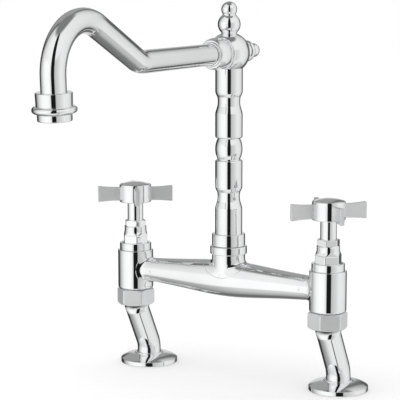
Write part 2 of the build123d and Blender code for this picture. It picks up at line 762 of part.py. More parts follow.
def make_column():
    """Turned tube: grooved spigot, two waists and a ball bead between plain cylinders."""
    upper_top = upper_waist_foot + column_waist
    ring_middle = ring_top - grub_depth
    grub_reach = grub_radius / 2 + seat_gap
    groove = spigot_radius - 2 * column_ring_section - running_gap
    ring_reach = column_ring_section + slip_gap
    with BuildPart() as column:
        with BuildSketch(profile_plane(0, valve_y)):
            with BuildLine():
                Polyline((0, column_foot), (column_radius, column_foot),
                         (column_radius, lower_waist_foot))
                waist(lower_waist_foot)
                Line((column_radius, lower_waist_foot + column_waist), (column_radius, bead_foot))
                bead(bead_foot)
                Line((column_radius, bead_foot + column_bead), (column_radius, upper_waist_foot))
                waist(upper_waist_foot)
                Polyline((column_radius, upper_top), (column_radius, column_head),
                         (0, column_head), (0, column_foot))
            make_face()
        revolve(axis=axis_at(0, valve_y))
        turn_steps(0, valve_y, [(spigot_radius, spigot_end, column_foot),
                                (spigot_nose_radius, column_head, column_head + spigot_nose)])
        grooves = [(height, groove, ring_reach) for height in column_ring_heights()]
        grooves.append((ring_middle, spigot_radius - grub_groove_depth, grub_reach))
        for height, radius, reach in grooves:
            with BuildSketch(level(0, valve_y, height - reach)):
                Circle(spigot_radius + edge_break)
                Circle(radius, mode=Mode.SUBTRACT)
            extrude(amount=2 * reach, mode=Mode.SUBTRACT)
        turn_steps(0, valve_y, [(column_bore_radius, spigot_end, column_head + spigot_nose)],
                   mode=Mode.SUBTRACT)
    keep(column, "column")


def make_column_fittings():
    """Trim collar, glide ring and seal rings at the foot of the column."""
    with BuildPart() as collar:
        with BuildSketch(profile_plane(0, valve_y)):
            with BuildLine():
                Polyline((column_radius, column_foot), (column_collar_radius, column_foot),
                         (column_collar_radius, collar_top), (column_radius, collar_top), close=True)
            make_face()
            chamfer(vertices().group_by(Axis.X)[-1].sort_by(Axis.Y)[-1], edge_break)
        revolve(axis=axis_at(0, valve_y))
    keep(collar, "column_collar")
    make_ring("glide_ring", 0, valve_y, spigot_radius + seat_gap, glide_ring_radius,
              glide_ring_foot, glide_ring_foot + glide_ring_height)
    make_round_ring("column_seal_rings", 0, valve_y, spigot_radius - column_ring_section,
                    column_ring_section, column_ring_heights())


# ---------------------------------------------------------------- elbow, finial and rear knob
def make_elbow():
    """Ball with three flats, a stepped lobe towards the spout, and bores for what it carries."""
    forward = Plane(origin=(0, valve_y, ball_z), x_dir=(0, -1, 0), z_dir=(-1, 0, 0))
    step_end = lobe_start + lobe_step_width
    lobe_root = lobe_step_radius - edge_break
    belly = (step_end + lobe_reach) / 2
    stud_hole = stud_radius + slip_gap
    with BuildPart() as elbow:
        with BuildSketch(forward):
            with BuildLine():
                Polyline((lobe_reach, 0), (-knob_foot, 0), (-knob_foot, knob_foot_radius))
                ThreePointArc((-knob_foot, knob_foot_radius), (0, ball_radius),
                              (lobe_start, lobe_step_radius))
                Polyline((lobe_start, lobe_step_radius), (step_end, lobe_step_radius),
                         (step_end, lobe_root))
                ThreePointArc((step_end, lobe_root), (belly, lobe_radius),
                              (lobe_reach, lobe_end_radius))
                Line((lobe_reach, lobe_end_radius), (lobe_reach, 0))
            make_face()
        revolve(axis=Axis((0, valve_y, ball_z), (0, -1, 0)))
        turn_steps(0, valve_y,
                   [(column_radius, ball_z - ball_radius, column_head),
                    (spigot_nose_radius + slip_gap, column_head, column_head + spigot_nose),
                    (column_bore_radius, column_head, ball_z),
                    (stud_hole, finial_foot - stud_length - seat_gap, finial_foot),
                    (finial_foot_radius, finial_foot, ball_z + ball_radius)],
                   mode=Mode.SUBTRACT)
        for start, end, radius in ((0, pipe_seat, column_bore_radius),
                                   (pipe_seat, lobe_reach, pipe_root_radius + slip_gap),
                                   (-knob_foot, -knob_foot + stud_length + seat_gap, stud_hole)):
            with BuildSketch(Plane(origin=(0, valve_y - start, ball_z), z_dir=(0, -1, 0))):
                Circle(radius)
            extrude(amount=end - start, mode=Mode.SUBTRACT)
    keep(elbow, "elbow")


def make_finial():
    """Finial on the elbow: a big ball and a small one on a short foot, with a stud below."""
    ball = finial_foot + finial_ball_rise
    ball_foot = ball - sqrt(finial_ball_radius**2 - finial_neck_radius**2)
    ball_head = ball + sqrt(finial_ball_radius**2 - finial_waist_radius**2)
    top_ball = ball + finial_top_rise
    top_foot = top_ball - sqrt(finial_top_radius**2 - finial_waist_radius**2)
    tip = top_ball + finial_top_radius
    with BuildPart() as finial:
        with BuildSketch(profile_plane(0, valve_y)):
            with BuildLine():
                Polyline((0, tip), (0, finial_foot), (finial_foot_radius, finial_foot),
                         (finial_neck_radius, finial_foot + edge_break),
                         (finial_neck_radius, ball_foot))
                ThreePointArc((finial_neck_radius, ball_foot), (finial_ball_radius, ball),
                              (finial_waist_radius, ball_head))
                Line((finial_waist_radius, ball_head), (finial_waist_radius, top_foot))
                ThreePointArc((finial_waist_radius, top_foot), (finial_top_radius, top_ball),
                              (0, tip))
            make_face()
        revolve(axis=axis_at(0, valve_y))
        turn_steps(0, valve_y, [(stud_radius, finial_foot - stud_length, finial_foot)])
    keep(finial, "finial")


def make_rear_knob():
    """Knob behind the elbow: waisted stem, rounded disc, neck and a little ball."""
    disc_end = knob_disc_foot + knob_disc_width
    ball = disc_end + knob_ball_rise
    ball_foot = ball - sqrt(knob_ball_radius**2 - knob_neck_radius**2)
    tip = ball + knob_ball_radius
    rim = knob_disc_width / 2
    with BuildPart() as rear_knob:
        with BuildSketch(level(0, valve_y, ball_z)):
            with BuildLine():
                Polyline((0, tip), (0, knob_foot), (knob_foot_radius, knob_foot))
                ThreePointArc((knob_foot_radius, knob_foot),
                              (knob_stem_radius, (knob_foot + knob_disc_foot) / 2),
                              (knob_foot_radius, knob_disc_foot))
                Line((knob_foot_radius, knob_disc_foot), (knob_disc_radius - rim, knob_disc_foot))
                ThreePointArc((knob_disc_radius - rim, knob_disc_foot),
                              (knob_disc_radius, knob_disc_foot + rim),
                              (knob_disc_radius - rim, disc_end))
                Polyline((knob_disc_radius - rim, disc_end), (knob_neck_radius, disc_end),
                         (knob_neck_radius, ball_foot))
                ThreePointArc((knob_neck_radius, ball_foot), (knob_ball_radius, ball), (0, tip))
            make_face()
        revolve(axis=Axis((0, valve_y, ball_z), (0, 1, 0)))
        with BuildSketch(Plane(origin=(0, valve_y + knob_foot, ball_z), z_dir=(0, -1, 0))):
            Circle(stud_radius)
        extrude(amount=stud_length)
    keep(rear_knob, "rear_knob")


# ---------------------------------------------------------------- spout pipe
def make_spout_pipe():
    """Bent pipe: level run, knee, rising run, arch over the sink and a short drop to the mouth."""
    slope = radians(spout_slope)
    knee_start = (0, valve_y - knee_reach + knee_tangent, ball_z)
    knee_end = (0, valve_y - knee_reach - knee_tangent * cos(slope),
                ball_z + knee_tangent * sin(slope))
    arch_start = (0, valve_y - arch_start_reach, ball_z + arch_start_rise)
    arch_end = (0, valve_y - outlet_reach, ball_z - outlet_drop)
    knee_axis = Axis((0, knee_start[1], ball_z + spout_knee_radius), (-1, 0, 0))
    arch_axis = Axis((0, valve_y - spout_arch_reach, ball_z - spout_arch_drop), ALONG)
    rising = (0, -cos(slope), sin(slope))
    root = (0, valve_y - pipe_seat - seat_gap, ball_z)
    level_ends = ((root, pipe_root_radius), (knee_start, pipe_middle_radius))
    rising_ends = ((knee_end, pipe_middle_radius), (arch_start, pipe_mouth_radius))
    with BuildPart() as spout_pipe:
        for wall, mode in ((0, Mode.ADD), (pipe_wall, Mode.SUBTRACT)):
            for place, radius in level_ends:
                with BuildSketch(Plane(origin=place, x_dir=ALONG, z_dir=(0, -1, 0))):
                    Circle(radius - wall)
            loft(mode=mode)
            with BuildSketch(Plane(origin=knee_start, x_dir=ALONG, z_dir=(0, -1, 0))):
                Circle(pipe_middle_radius - wall)
            revolve(axis=knee_axis, revolution_arc=spout_slope, mode=mode)
            for place, radius in rising_ends:
                with BuildSketch(Plane(origin=place, x_dir=ALONG, z_dir=rising)):
                    Circle(radius - wall)
            loft(mode=mode)
            with BuildSketch(Plane(origin=arch_start, x_dir=ALONG, z_dir=rising)):
                Circle(pipe_mouth_radius - wall)
            revolve(axis=arch_axis, revolution_arc=spout_slope + 90 + outlet_tilt, mode=mode)
            with BuildSketch(Plane(origin=arch_end, x_dir=ALONG, z_dir=OUTLET_WAY)):
                Circle(pipe_mouth_radius - wall)
            extrude(amount=pipe_end, mode=mode)
    keep(spout_pipe, "spout_pipe")


def make_pipe_ring():
    """Half-round ring where the pipe leaves the elbow's lobe."""
    inner = pipe_root_radius + slip_gap
    end = lobe_reach + pipe_ring_width
    edge = pipe_ring_radius - pipe_ring_width / 2
    with BuildPart() as pipe_ring:
        with BuildSketch(Plane(origin=(0, valve_y, ball_z), x_dir=(0, -1, 0), z_dir=(-1, 0, 0))):
            with BuildLine():
                Polyline((lobe_reach, edge), (lobe_reach, inner), (end, inner), (end, edge))
                ThreePointArc((end, edge), ((lobe_reach + end) / 2, pipe_ring_radius),
                              (lobe_reach, edge))
            make_face()
        revolve(axis=Axis((0, valve_y, ball_z), (0, -1, 0)))
    keep(pipe_ring, "pipe_ring")


# ---------------------------------------------------------------- outlet and aerator
def outlet_level(drop):
    """Plane square to the mouth, that far down from the arch's end; its Z runs with the water."""
    place = (0, valve_y - outlet_reach + OUTLET_WAY[1] * drop,
             ball_z - outlet_drop + OUTLET_WAY[2] * drop)
    return Plane(origin=place, x_dir=ALONG, z_dir=OUTLET_WAY)


def make_outlet_collar():
    """Collar on the pipe's mouth with a half-round ring below it; the aerator screws in."""
    outlet_axis = Axis((0, valve_y - outlet_reach, ball_z - outlet_drop), OUTLET_WAY)
    lower_radius = outlet_collar_radius - outlet_collar_taper
    ring_edge = outlet_ring_radius - outlet_ring_height / 2
    ring_middle = (outlet_ring_top + outlet_ring_foot) / 2
    half_profile = Plane(origin=outlet_level(0).origin, x_dir=ALONG,
                         z_dir=(0, -OUTLET_WAY[2], OUTLET_WAY[1]))
    with BuildPart() as outlet_collar:
        with BuildSketch(half_profile):
            with BuildLine():
                Polyline((0, outlet_straight), (outlet_collar_radius - edge_break, outlet_straight),
                         (outlet_collar_radius, outlet_straight + edge_break),
                         (lower_radius, outlet_ring_top), (ring_edge, outlet_ring_top))
                ThreePointArc((ring_edge, outlet_ring_top), (outlet_ring_radius, ring_middle),
                              (ring_edge, outlet_ring_foot))
                Polyline((ring_edge, outlet_ring_foot), (0, outlet_ring_foot),
                         (0, outlet_straight))
            make_face()
        revolve(axis=outlet_axis)
        for start, end, radius in (
                (outlet_straight, pipe_end + seat_gap, pipe_mouth_radius + slip_gap),
                (pipe_end, washer_seat, pipe_mouth_radius - pipe_wall),
                (washer_seat, outlet_ring_foot, aerator_thread_radius)):
            with BuildSketch(outlet_level(start)):
                Circle(radius)
            extrude(amount=end - start, mode=Mode.SUBTRACT)
    keep(outlet_collar, "outlet_collar")


def make_aerator():
    """Aerator: threaded shell with a visible ring, a perforated plate in it, a washer above."""
    shell_top = washer_seat + aerator_washer_height
    ring_start = outlet_ring_foot + seat_gap
    bore = aerator_thread_radius - aerator_wall
    plate_end = aerator_mouth - aerator_sink
    with BuildPart() as aerator_shell:
        with BuildSketch(outlet_level(shell_top)):
            Circle(aerator_thread_radius - slip_gap)
        extrude(amount=ring_start - shell_top)
        with BuildSketch(outlet_level(ring_start)):
            Circle(aerator_radius)
        extrude(amount=aerator_height)
        mouth_edge = edges().group_by(SortBy.LENGTH)[-1].sort_by(Axis.Z)[0]
        chamfer(mouth_edge, edge_break)
        with BuildSketch(outlet_level(shell_top)):
            Circle(bore)
        extrude(amount=aerator_mouth - shell_top, mode=Mode.SUBTRACT)
    keep(aerator_shell, "aerator_shell")
    with BuildPart() as aerator_plate_disc:
        with BuildSketch(outlet_level(plate_end - aerator_plate)):
            Circle(bore - slip_gap)
            for radius, holes in ((aerator_inner_ring, aerator_inner_holes),
                                  (aerator_outer_ring, aerator_outer_holes)):
                with PolarLocations(radius, holes):
                    Circle(aerator_hole_radius, mode=Mode.SUBTRACT)
        extrude(amount=aerator_plate)
    keep(aerator_plate_disc, "aerator_plate")
    with BuildPart() as aerator_washer:
        with BuildSketch(outlet_level(washer_seat)):
            Circle(aerator_thread_radius - seat_gap)
            Circle(pipe_mouth_radius - pipe_wall, mode=Mode.SUBTRACT)
        extrude(amount=aerator_washer_height)
    keep(aerator_washer, "aerator_washer")


def main():
    """Builds every piece and writes it."""
    make_bridge()
    make_grub_screw()
    for side, sign in side_of.items():
        x = sign * valve_centres / 2
        make_deck_fixings(side, x)
        make_headwork(side, x)
        make_handle(side, x)
    make_column()
    make_column_fittings()
    make_elbow()
    make_finial()
    make_rear_knob()
    make_spout_pipe()
    make_pipe_ring()
    make_outlet_collar()
    make_aerator()


if __name__ == "__main__":
    main()
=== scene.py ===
"""Look of the bridge mixer tap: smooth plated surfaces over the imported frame, a pale floor,
a soft studio round it and a camera at the angle of the reference view.

Lengths are in mm until a piece is placed. Where an outline has a second point a fraction of a
millimetre beside a corner, it keeps the shading of the face beyond it flat.
"""

import json
import logging
from dataclasses import dataclass
from enum import Enum

import bpy
import numpy as np
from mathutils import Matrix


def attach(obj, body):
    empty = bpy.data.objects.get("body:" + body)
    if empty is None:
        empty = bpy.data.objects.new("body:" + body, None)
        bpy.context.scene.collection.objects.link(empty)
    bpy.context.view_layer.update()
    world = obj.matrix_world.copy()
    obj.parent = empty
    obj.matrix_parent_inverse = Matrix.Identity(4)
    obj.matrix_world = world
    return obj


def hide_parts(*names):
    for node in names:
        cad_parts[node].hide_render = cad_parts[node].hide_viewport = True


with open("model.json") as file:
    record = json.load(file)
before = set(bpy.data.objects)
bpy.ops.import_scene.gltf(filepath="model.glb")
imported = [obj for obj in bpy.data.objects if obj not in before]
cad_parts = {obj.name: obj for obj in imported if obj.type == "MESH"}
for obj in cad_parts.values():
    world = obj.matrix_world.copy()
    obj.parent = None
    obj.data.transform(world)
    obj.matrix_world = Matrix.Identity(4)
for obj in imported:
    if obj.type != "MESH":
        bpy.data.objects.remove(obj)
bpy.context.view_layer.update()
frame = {"nodes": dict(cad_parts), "record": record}
LOG = logging.getLogger("bridge_tap")
Array = np.ndarray
Point = tuple[float, float]
Place = tuple[float, float, float]
Stops = tuple[Point, ...]
Run = Array | list[Point]
MM = 0.001
SPOKES = 144             # steps round a turned surface
FINE_SPOKES = 192        # steps round the bridge and the elbow ball
AXIS_RADIUS = 1e-3       # radius of a turned outline where it meets its axis
SAME_POINT = 1e-6        # points closer than this are one


class Side(Enum):
    """The two valves, by the sign of their X."""

    LEFT = -1
    RIGHT = 1

    @property
    def word(self) -> str:
        """Prefix of this side's node names."""
        return self.name.lower()


class Body(Enum):
    """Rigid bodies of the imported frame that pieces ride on."""

    BASE = "base"
    LEFT_HANDLE = "left_handle"
    RIGHT_HANDLE = "right_handle"
    SPOUT = "spout"


# ---------------------------------------------------------------- profiles
def table(*values: Array | float) -> Array:
    """Runs of numbers side by side as columns; a single number is repeated all the way."""
    return np.stack(np.broadcast_arrays(*values), axis=1)


def full_turn(spokes: int) -> Array:
    """Angles of evenly spread spokes, the first at 0."""
    return 2 * np.pi * np.arange(spokes) / spokes


def rise(ball: float, radius: float) -> float:
    """How far from a ball's middle its outline has this smaller radius."""
    return float(np.sqrt(ball**2 - radius**2))


def mirrored(run: Array, total: float) -> Array:
    """The run upside down, last point first: each height becomes the total less itself."""
    return run[::-1] * [1, -1] + [0, total]


def off_axis(outline: Array) -> Array:
    """The outline with no radius under AXIS_RADIUS, so that no ring shrinks to a point."""
    return np.maximum(outline, [AXIS_RADIUS, -np.inf])


def arc_through(start: Point, middle: Point, end: Point, steps: int = 16) -> Array:
    """Circular arc through three points: the circle's centre is equally far from all three.

    Args:
        start: first point of the arc, as radius and height in mm.
        middle: a point that the arc passes.
        end: last point of the arc.
        steps: number of chords.

    Returns:
        Points along the arc, shape (steps + 1, 2).
    """
    a, m, b = (np.array(p, float) for p in (start, middle, end))
    system = 2 * np.array([m - a, b - a])
    centre = np.linalg.solve(system, np.array([m @ m - a @ a, b @ b - a @ a]))
    angles = [np.arctan2(*(p - centre)[::-1]) for p in (a, m, b)]
    first, through, last = angles
    sweep = (last - first) % (2 * np.pi)
    if (through - first) % (2 * np.pi) > sweep:
        sweep -= 2 * np.pi
    turn = first + sweep * np.linspace(0, 1, steps + 1)
    return centre + np.hypot(*(a - centre)) * table(np.cos(turn), np.sin(turn))


def bow(radius: float, crest: float, low: float, high: float, steps: int) -> Array:
    """Arc between two heights at one radius that passes the crest's radius halfway."""
    return arc_through((radius, low), (crest, (low + high) / 2), (radius, high), steps)


def ball_arc(height: float, radius: float, low: float, high: float, steps: int = 28) -> Array:
    """Outline of a ball between two heights: radius is the root of r squared less rise squared.

    Args:
        height: height of the ball's centre in mm.
        radius: radius of the ball.
        low: height where the outline starts.
        high: height where it ends.
        steps: number of chords, evenly spread over the angle.

    Returns:
        Points (radius, height), shape (steps + 1, 2).
    """
    first, last = np.arcsin(np.clip((np.array([low, high]) - height) / radius, -1, 1))
    angle = np.linspace(first, last, steps + 1)
    return table(radius * np.cos(angle), height + radius * np.sin(angle))


def softened(points: list[Point], cut: float, steps: int = 5) -> Array:
    """Polyline with soft corners: each corner C becomes the curve (1-t)^2 A + 2t(1-t) C + t^2 B.

    A and B lie on the two legs of the corner, cut mm away from it or a third of a short leg, and
    a spare point beside each keeps the flat face beyond it flat.

    Args:
        points: corners as (radius, height).
        cut: length that a corner takes off each of its legs.
        steps: chords for each corner.

    Returns:
        The softened polyline, ends kept.
    """
    spare_share = 1.5
    corners = np.array(points, float)
    rows = [corners[:1]]
    blend = np.linspace(0, 1, steps + 1)[:, None]
    for before, corner, after in zip(corners[:-2], corners[1:-1], corners[2:]):
        legs = [before - corner, after - corner]
        reach = [min(cut, np.hypot(*leg) / 3) / max(np.hypot(*leg), SAME_POINT) for leg in legs]
        enter, leave = (corner + leg * share for leg, share in zip(legs, reach))
        first, last = (corner + leg * share * spare_share for leg, share in zip(legs, reach))
        curve = (1 - blend) ** 2 * enter + 2 * blend * (1 - blend) * corner + blend**2 * leave
        rows += [first[None], curve, last[None]]
    rows.append(corners[-1:])
    return np.concatenate(rows)


def looped(points: list[Point], cut: float) -> Array:
    """Closed outline with soft corners; its first point lies on a straight and is also its last."""
    return softened([*points, points[0]], cut)


def joined(*runs: Run) -> Array:
    """One outline from several runs of points, without repeats at the joints.

    Args:
        runs: points (radius, height), in order.

    Returns:
        The outline, shape (n, 2).
    """
    points = np.concatenate([np.asarray(run, float) for run in runs])
    keep = np.r_[True, np.hypot(*np.diff(points, axis=0).T) > SAME_POINT]
    return points[keep]


# ---------------------------------------------------------------- surfaces
def grid_triangles(rows: int, columns: int, wrap_rows: bool) -> Array:
    """Triangles of a grid that closes round its columns, and round its rows if asked.

    Args:
        rows: number of rows of points.
        columns: number of points in a row.
        wrap_rows: whether the last row joins the first.

    Returns:
        Index triples: each cell is cut along one diagonal.
    """
    row, column = np.meshgrid(np.arange(rows if wrap_rows else rows - 1), np.arange(columns),
                              indexing="ij")
    next_row, next_column = (row + 1) % rows, (column + 1) % columns
    a, b = row * columns + column, row * columns + next_column
    c, d = next_row * columns + next_column, next_row * columns + column
    return np.concatenate([np.stack([a, b, c], -1).reshape(-1, 3),
                           np.stack([a, c, d], -1).reshape(-1, 3)])


@dataclass
class Surface:
    """Points in mm and triangles of one closed surface, and which triangles are shaded flat."""

    points: Array
    triangles: Array
    flat: Array | None = None

    def __post_init__(self) -> None:
        """Shades every triangle smooth unless told otherwise."""
        if self.flat is None:
            self.flat = np.zeros(len(self.triangles), dtype=bool)

    def outward(self) -> "Surface":
        """Turns the triangles so that the enclosed volume, a sum of a.(b x c), is positive.

        Returns:
            This surface.
        """
        a, b, c = (self.points[self.triangles[:, i]] for i in range(3))
        if np.einsum("ij,ij->", a, np.cross(b, c)) < 0:
            self.triangles = self.triangles[:, ::-1].copy()
        return self

    @staticmethod
    def closed_grid(grid: Array) -> "Surface":
        """Closes a tube of rings with a point at the middle of its first and its last ring.

        Args:
            grid: rings of points, shape (rows, columns, 3).

        Returns:
            The closed surface, faces outward.
        """
        rows, columns, _ = grid.shape
        ends = np.array([grid[0].mean(axis=0), grid[-1].mean(axis=0)])
        column = np.arange(columns)
        following = (column + 1) % columns
        total = rows * columns
        last_row = total - columns
        triangles = np.concatenate([
            grid_triangles(rows, columns, False), table(total, following, column),
            table(total + 1, last_row + column, last_row + following)])
        return Surface(np.concatenate([grid.reshape(-1, 3), ends]), triangles).outward()

    @staticmethod
    def ring_grid(grid: Array) -> "Surface":
        """A grid that closes both ways, such as a washer's or a nut's skin.

        Args:
            grid: rings of points, shape (rows, columns, 3).

        Returns:
            The closed surface, faces outward.
        """
        rows, columns, _ = grid.shape
        triangles = grid_triangles(rows, columns, True)
        return Surface(grid.reshape(-1, 3), triangles).outward()

    @staticmethod
    def merged(*parts: "Surface") -> "Surface":
        """Several closed surfaces as one set of points and triangles."""
        offsets = np.cumsum([0] + [len(part.points) for part in parts[:-1]])
        return Surface(np.concatenate([part.points for part in parts]),
                       np.concatenate([part.triangles + offset
                                       for part, offset in zip(parts, offsets)]),
                       np.concatenate([part.flat for part in parts]))


@dataclass(frozen=True)
class Lathe:
    """An axis with two square directions across it: turns profiles into surfaces."""

    origin: Place
    along: Place = (0.0, 0.0, 1.0)
    start: Place = (1.0, 0.0, 0.0)

    def rings(self, outline: Array, spokes: int = SPOKES) -> Array:
        """Rings of points: origin + height * along + radius * (cos t * start + sin t * side).

        Args:
            outline: (radius, height) in mm.
            spokes: number of points in a ring.

        Returns:
            Grid of points, shape (rows, spokes, 3).
        """
        along, start = np.array(self.along, float), np.array(self.start, float)
        turn = full_turn(spokes)[:, None]
        spoke = np.cos(turn) * start + np.sin(turn) * np.cross(along, start)
        radius, height = outline.T[..., None, None]
        return np.array(self.origin) + height * along + radius * spoke

    def turned(self, *runs: Run, spokes: int = SPOKES) -> Surface:
        """Solid of revolution: its runs lead from the axis round to the axis."""
        return Surface.closed_grid(self.rings(off_axis(joined(*runs)), spokes))

    def hollow(self, *runs: Run) -> Surface:
        """Ring of revolution round the axis: its runs make a closed loop.

        Args:
            runs: parts of the outline, points (radius, height).

        Returns:
            The closed surface.
        """
        outline = joined(*runs) if len(runs) > 1 else runs[0]
        closed = np.allclose(outline[0], outline[-1])
        return Surface.ring_grid(self.rings(outline[:-1] if closed else outline))

    def faceted(self, outline: Array, flats: Array, spokes: int = 48 * 6) -> Surface:
        """Ring whose radius is the smaller of the turned outline and a hexagon, softly joined.

        The hexagon's reach is half its flats over the p-norm of the cosines to its six sides, and
        the smaller of two radii a and b is taken as (a^-p + b^-p)^(-1/p), so edges come out round.

        Args:
            outline: closed loop of (radius, height).
            flats: width across flats for each point of the outline, 0 where it stays round.
            spokes: number of points in a ring.

        Returns:
            The closed surface.
        """
        sharp, no_flats = 60.0, 1e3
        sides = np.pi / 6 + np.pi / 3 * np.arange(6)
        cosines = np.clip(np.cos(full_turn(spokes)[:, None] - sides), 0, 1)
        hexagon = 0.5 / (cosines**sharp).sum(axis=1) ** (1 / sharp)
        reach = np.where(flats[:, None] > 0, flats[:, None] * hexagon, no_flats)
        radius = (outline[:, :1] ** -sharp + reach**-sharp) ** (-1 / sharp)
        middles = self.rings(table(0.0, outline[:, 1]), spokes)
        unit = self.rings(np.array([[1.0, 0.0]]), spokes)[0] - np.array(self.origin)
        return Surface.ring_grid(middles + radius[:, :, None] * unit)


def swept(route: Array, across: Array, radii: Array, spokes: int = SPOKES) -> Surface:
    """Round tube along a route in an upright plane: point + r (cos t * X + sin t * across).

    Args:
        route: centre points, shape (n, 3).
        across: unit vectors square to the route, in its plane, shape (n, 3).
        radii: radius at each point.
        spokes: number of points in a ring.

    Returns:
        The closed tube.
    """
    turn = full_turn(spokes)[:, None]
    ring = np.cos(turn) * [1.0, 0.0, 0.0] + np.sin(turn) * across[:, None, :]
    return Surface.closed_grid(route[:, None, :] + radii[:, None, None] * ring)


# ---------------------------------------------------------------- finishes
def fill(tree: bpy.types.NodeTree, thing: bpy.types.Node,
         inputs: dict[str | int, object]) -> None:
    """Fills inputs of a node: a socket is linked to it, anything else is its own value.

    Args:
        tree: node tree of the node.
        thing: the node.
        inputs: sockets and values, by the name or number of the input.
    """
    for key, value in inputs.items():
        if isinstance(value, bpy.types.NodeSocket):
            tree.links.new(value, thing.inputs[key])
        else:
            thing.inputs[key].default_value = value


def node(tree: bpy.types.NodeTree, kind: str, inputs: dict[str | int, object] | None = None,
         **values: object) -> bpy.types.Node:
    """Adds a node, sets its properties and then fills its inputs.

    Args:
        tree: node tree that gets the node.
        kind: type of the node.
        inputs: sockets and values for its inputs.
        values: its properties.

    Returns:
        The new node.
    """
    made = tree.nodes.new(kind)
    for key, value in values.items():
        setattr(made, key, value)
    fill(tree, made, inputs or {})
    return made


def mixed(tree: bpy.types.NodeTree, factor: bpy.types.NodeSocket, first: object,
          second: object) -> bpy.types.NodeSocket:
    """Colour that goes from the first to the second as the factor goes from 0 to 1."""
    inputs = {"Factor": factor, "A": first, "B": second}
    return node(tree, "ShaderNodeMix", inputs, data_type="RGBA").outputs["Result"]


def grey(value: float) -> tuple[float, float, float, float]:
    """Opaque grey of this brightness."""
    return (value, value, value, 1.0)


def handling_marks() -> bpy.types.NodeTree:
    """Shared effect: cloudy wipe marks and fine specks, both as masks from 0 to 1.

    Returns:
        The node group, built once.
    """
    found = bpy.data.node_groups.get("handling_marks")
    if found:
        return found
    group = bpy.data.node_groups.new("handling_marks", "ShaderNodeTree")
    for name, way, kind in (("Vector", "INPUT", "Vector"), ("Cloud Scale", "INPUT", "Float"),
                            ("Speck Scale", "INPUT", "Float"), ("Clouds", "OUTPUT", "Float"),
                            ("Specks", "OUTPUT", "Float")):
        group.interface.new_socket(name, in_out=way, socket_type="NodeSocket" + kind)
    entry, leave = node(group, "NodeGroupInput"), node(group, "NodeGroupOutput")
    faint, full = 0.35, 0.70    # noise where a mask starts and where it reaches 1
    for output, scale, detail in (("Clouds", "Cloud Scale", 3.0), ("Specks", "Speck Scale", 6.0)):
        noise = node(group, "ShaderNodeTexNoise", {
            "Vector": entry.outputs["Vector"], "Scale": entry.outputs[scale], "Detail": detail})
        spread = node(group, "ShaderNodeMapRange", {
            "Value": noise.outputs["Fac"], "From Min": faint, "From Max": full}, clamp=True)
        fill(group, leave, {output: spread.outputs["Result"]})
    return group


@dataclass(frozen=True)
class Surfacing:
    """One finish: clean and marked colour, roughness range, metal or not, and grain."""

    name: str
    clean: tuple[float, float, float]
    marked: tuple[float, float, float]
    metallic: float
    smooth: float
    dull: float
    cloud_scale: float = 28.0
    speck_scale: float = 900.0
    grain: float = 0.0
    grain_depth: float = 0.0002

    def material(self) -> bpy.types.Material:
        """Builds the node material once.

        Returns:
            The material, with Principled BSDF in the material itself.
        """
        found = bpy.data.materials.get(self.name)
        if found:
            return found
        made = bpy.data.materials.new(self.name)
        made.use_nodes = True
        tree = made.node_tree
        marks = node(tree, "ShaderNodeGroup", {
            "Vector": node(tree, "ShaderNodeTexCoord").outputs["Object"],
            "Cloud Scale": self.cloud_scale, "Speck Scale": self.speck_scale},
            node_tree=handling_marks())
        clouds, specks = marks.outputs["Clouds"], marks.outputs["Specks"]
        rough = node(tree, "ShaderNodeMapRange", {
            "Value": clouds, "To Min": self.smooth, "To Max": self.dull})
        shader = tree.nodes["Principled BSDF"]
        fill(tree, shader, {
            "Base Color": mixed(tree, clouds, (*self.clean, 1.0), (*self.marked, 1.0)),
            "Roughness": rough.outputs["Result"], "Metallic": self.metallic})
        if self.grain:
            bump = node(tree, "ShaderNodeBump", {
                "Strength": self.grain, "Distance": self.grain_depth, "Height": specks})
            fill(tree, shader, {"Normal": bump.outputs["Normal"]})
        return made


PLATING = ((0.92, 0.925, 0.93), (0.88, 0.885, 0.89))     # plated colour, clean and marked


class Finish(Enum):
    """The finishes of the tap; the last word of each name is the record's material slot."""

    CHROME = Surfacing("polished_chrome", *PLATING, 1.0, 0.035, 0.06)
    MILLED_CHROME = Surfacing("milled_chrome", *PLATING, 1.0, 0.55, 0.62)
    BRASS = Surfacing("turned_brass", (0.78, 0.62, 0.34), (0.62, 0.47, 0.24), 1.0, 0.22, 0.38,
                      grain=0.3)
    STEEL = Surfacing("turned_steel", (0.62, 0.62, 0.63), (0.52, 0.52, 0.53), 1.0, 0.2, 0.34,
                      grain=0.2)
    RUBBER = Surfacing("sealing_rubber", (0.035, 0.035, 0.036), (0.06, 0.06, 0.06), 0.0, 0.55,
                       0.75, grain=0.5)
    CERAMIC = Surfacing("ground_ceramic", (0.9, 0.89, 0.86), (0.84, 0.83, 0.8), 0.0, 0.12, 0.2)
    NYLON = Surfacing("moulded_nylon", (0.8, 0.8, 0.78), (0.7, 0.7, 0.68), 0.0, 0.35, 0.5,
                      grain=0.2)

    def slot(self) -> str:
        """Material slot in the record that this finish belongs to."""
        return self.name.lower().split("_")[-1]

    def dress(self, thing: bpy.types.Object) -> None:
        """Gives the thing this finish alone."""
        thing.data.materials.clear()
        thing.data.materials.append(self.value.material())


def put_in_scene(name: str, data: bpy.types.ID) -> bpy.types.Object:
    """Makes an object of the data and links it to the scene.

    Args:
        name: name of the object.
        data: its mesh, camera or light.

    Returns:
        The linked object.
    """
    thing = bpy.data.objects.new(name, data)
    bpy.context.scene.collection.objects.link(thing)
    return thing


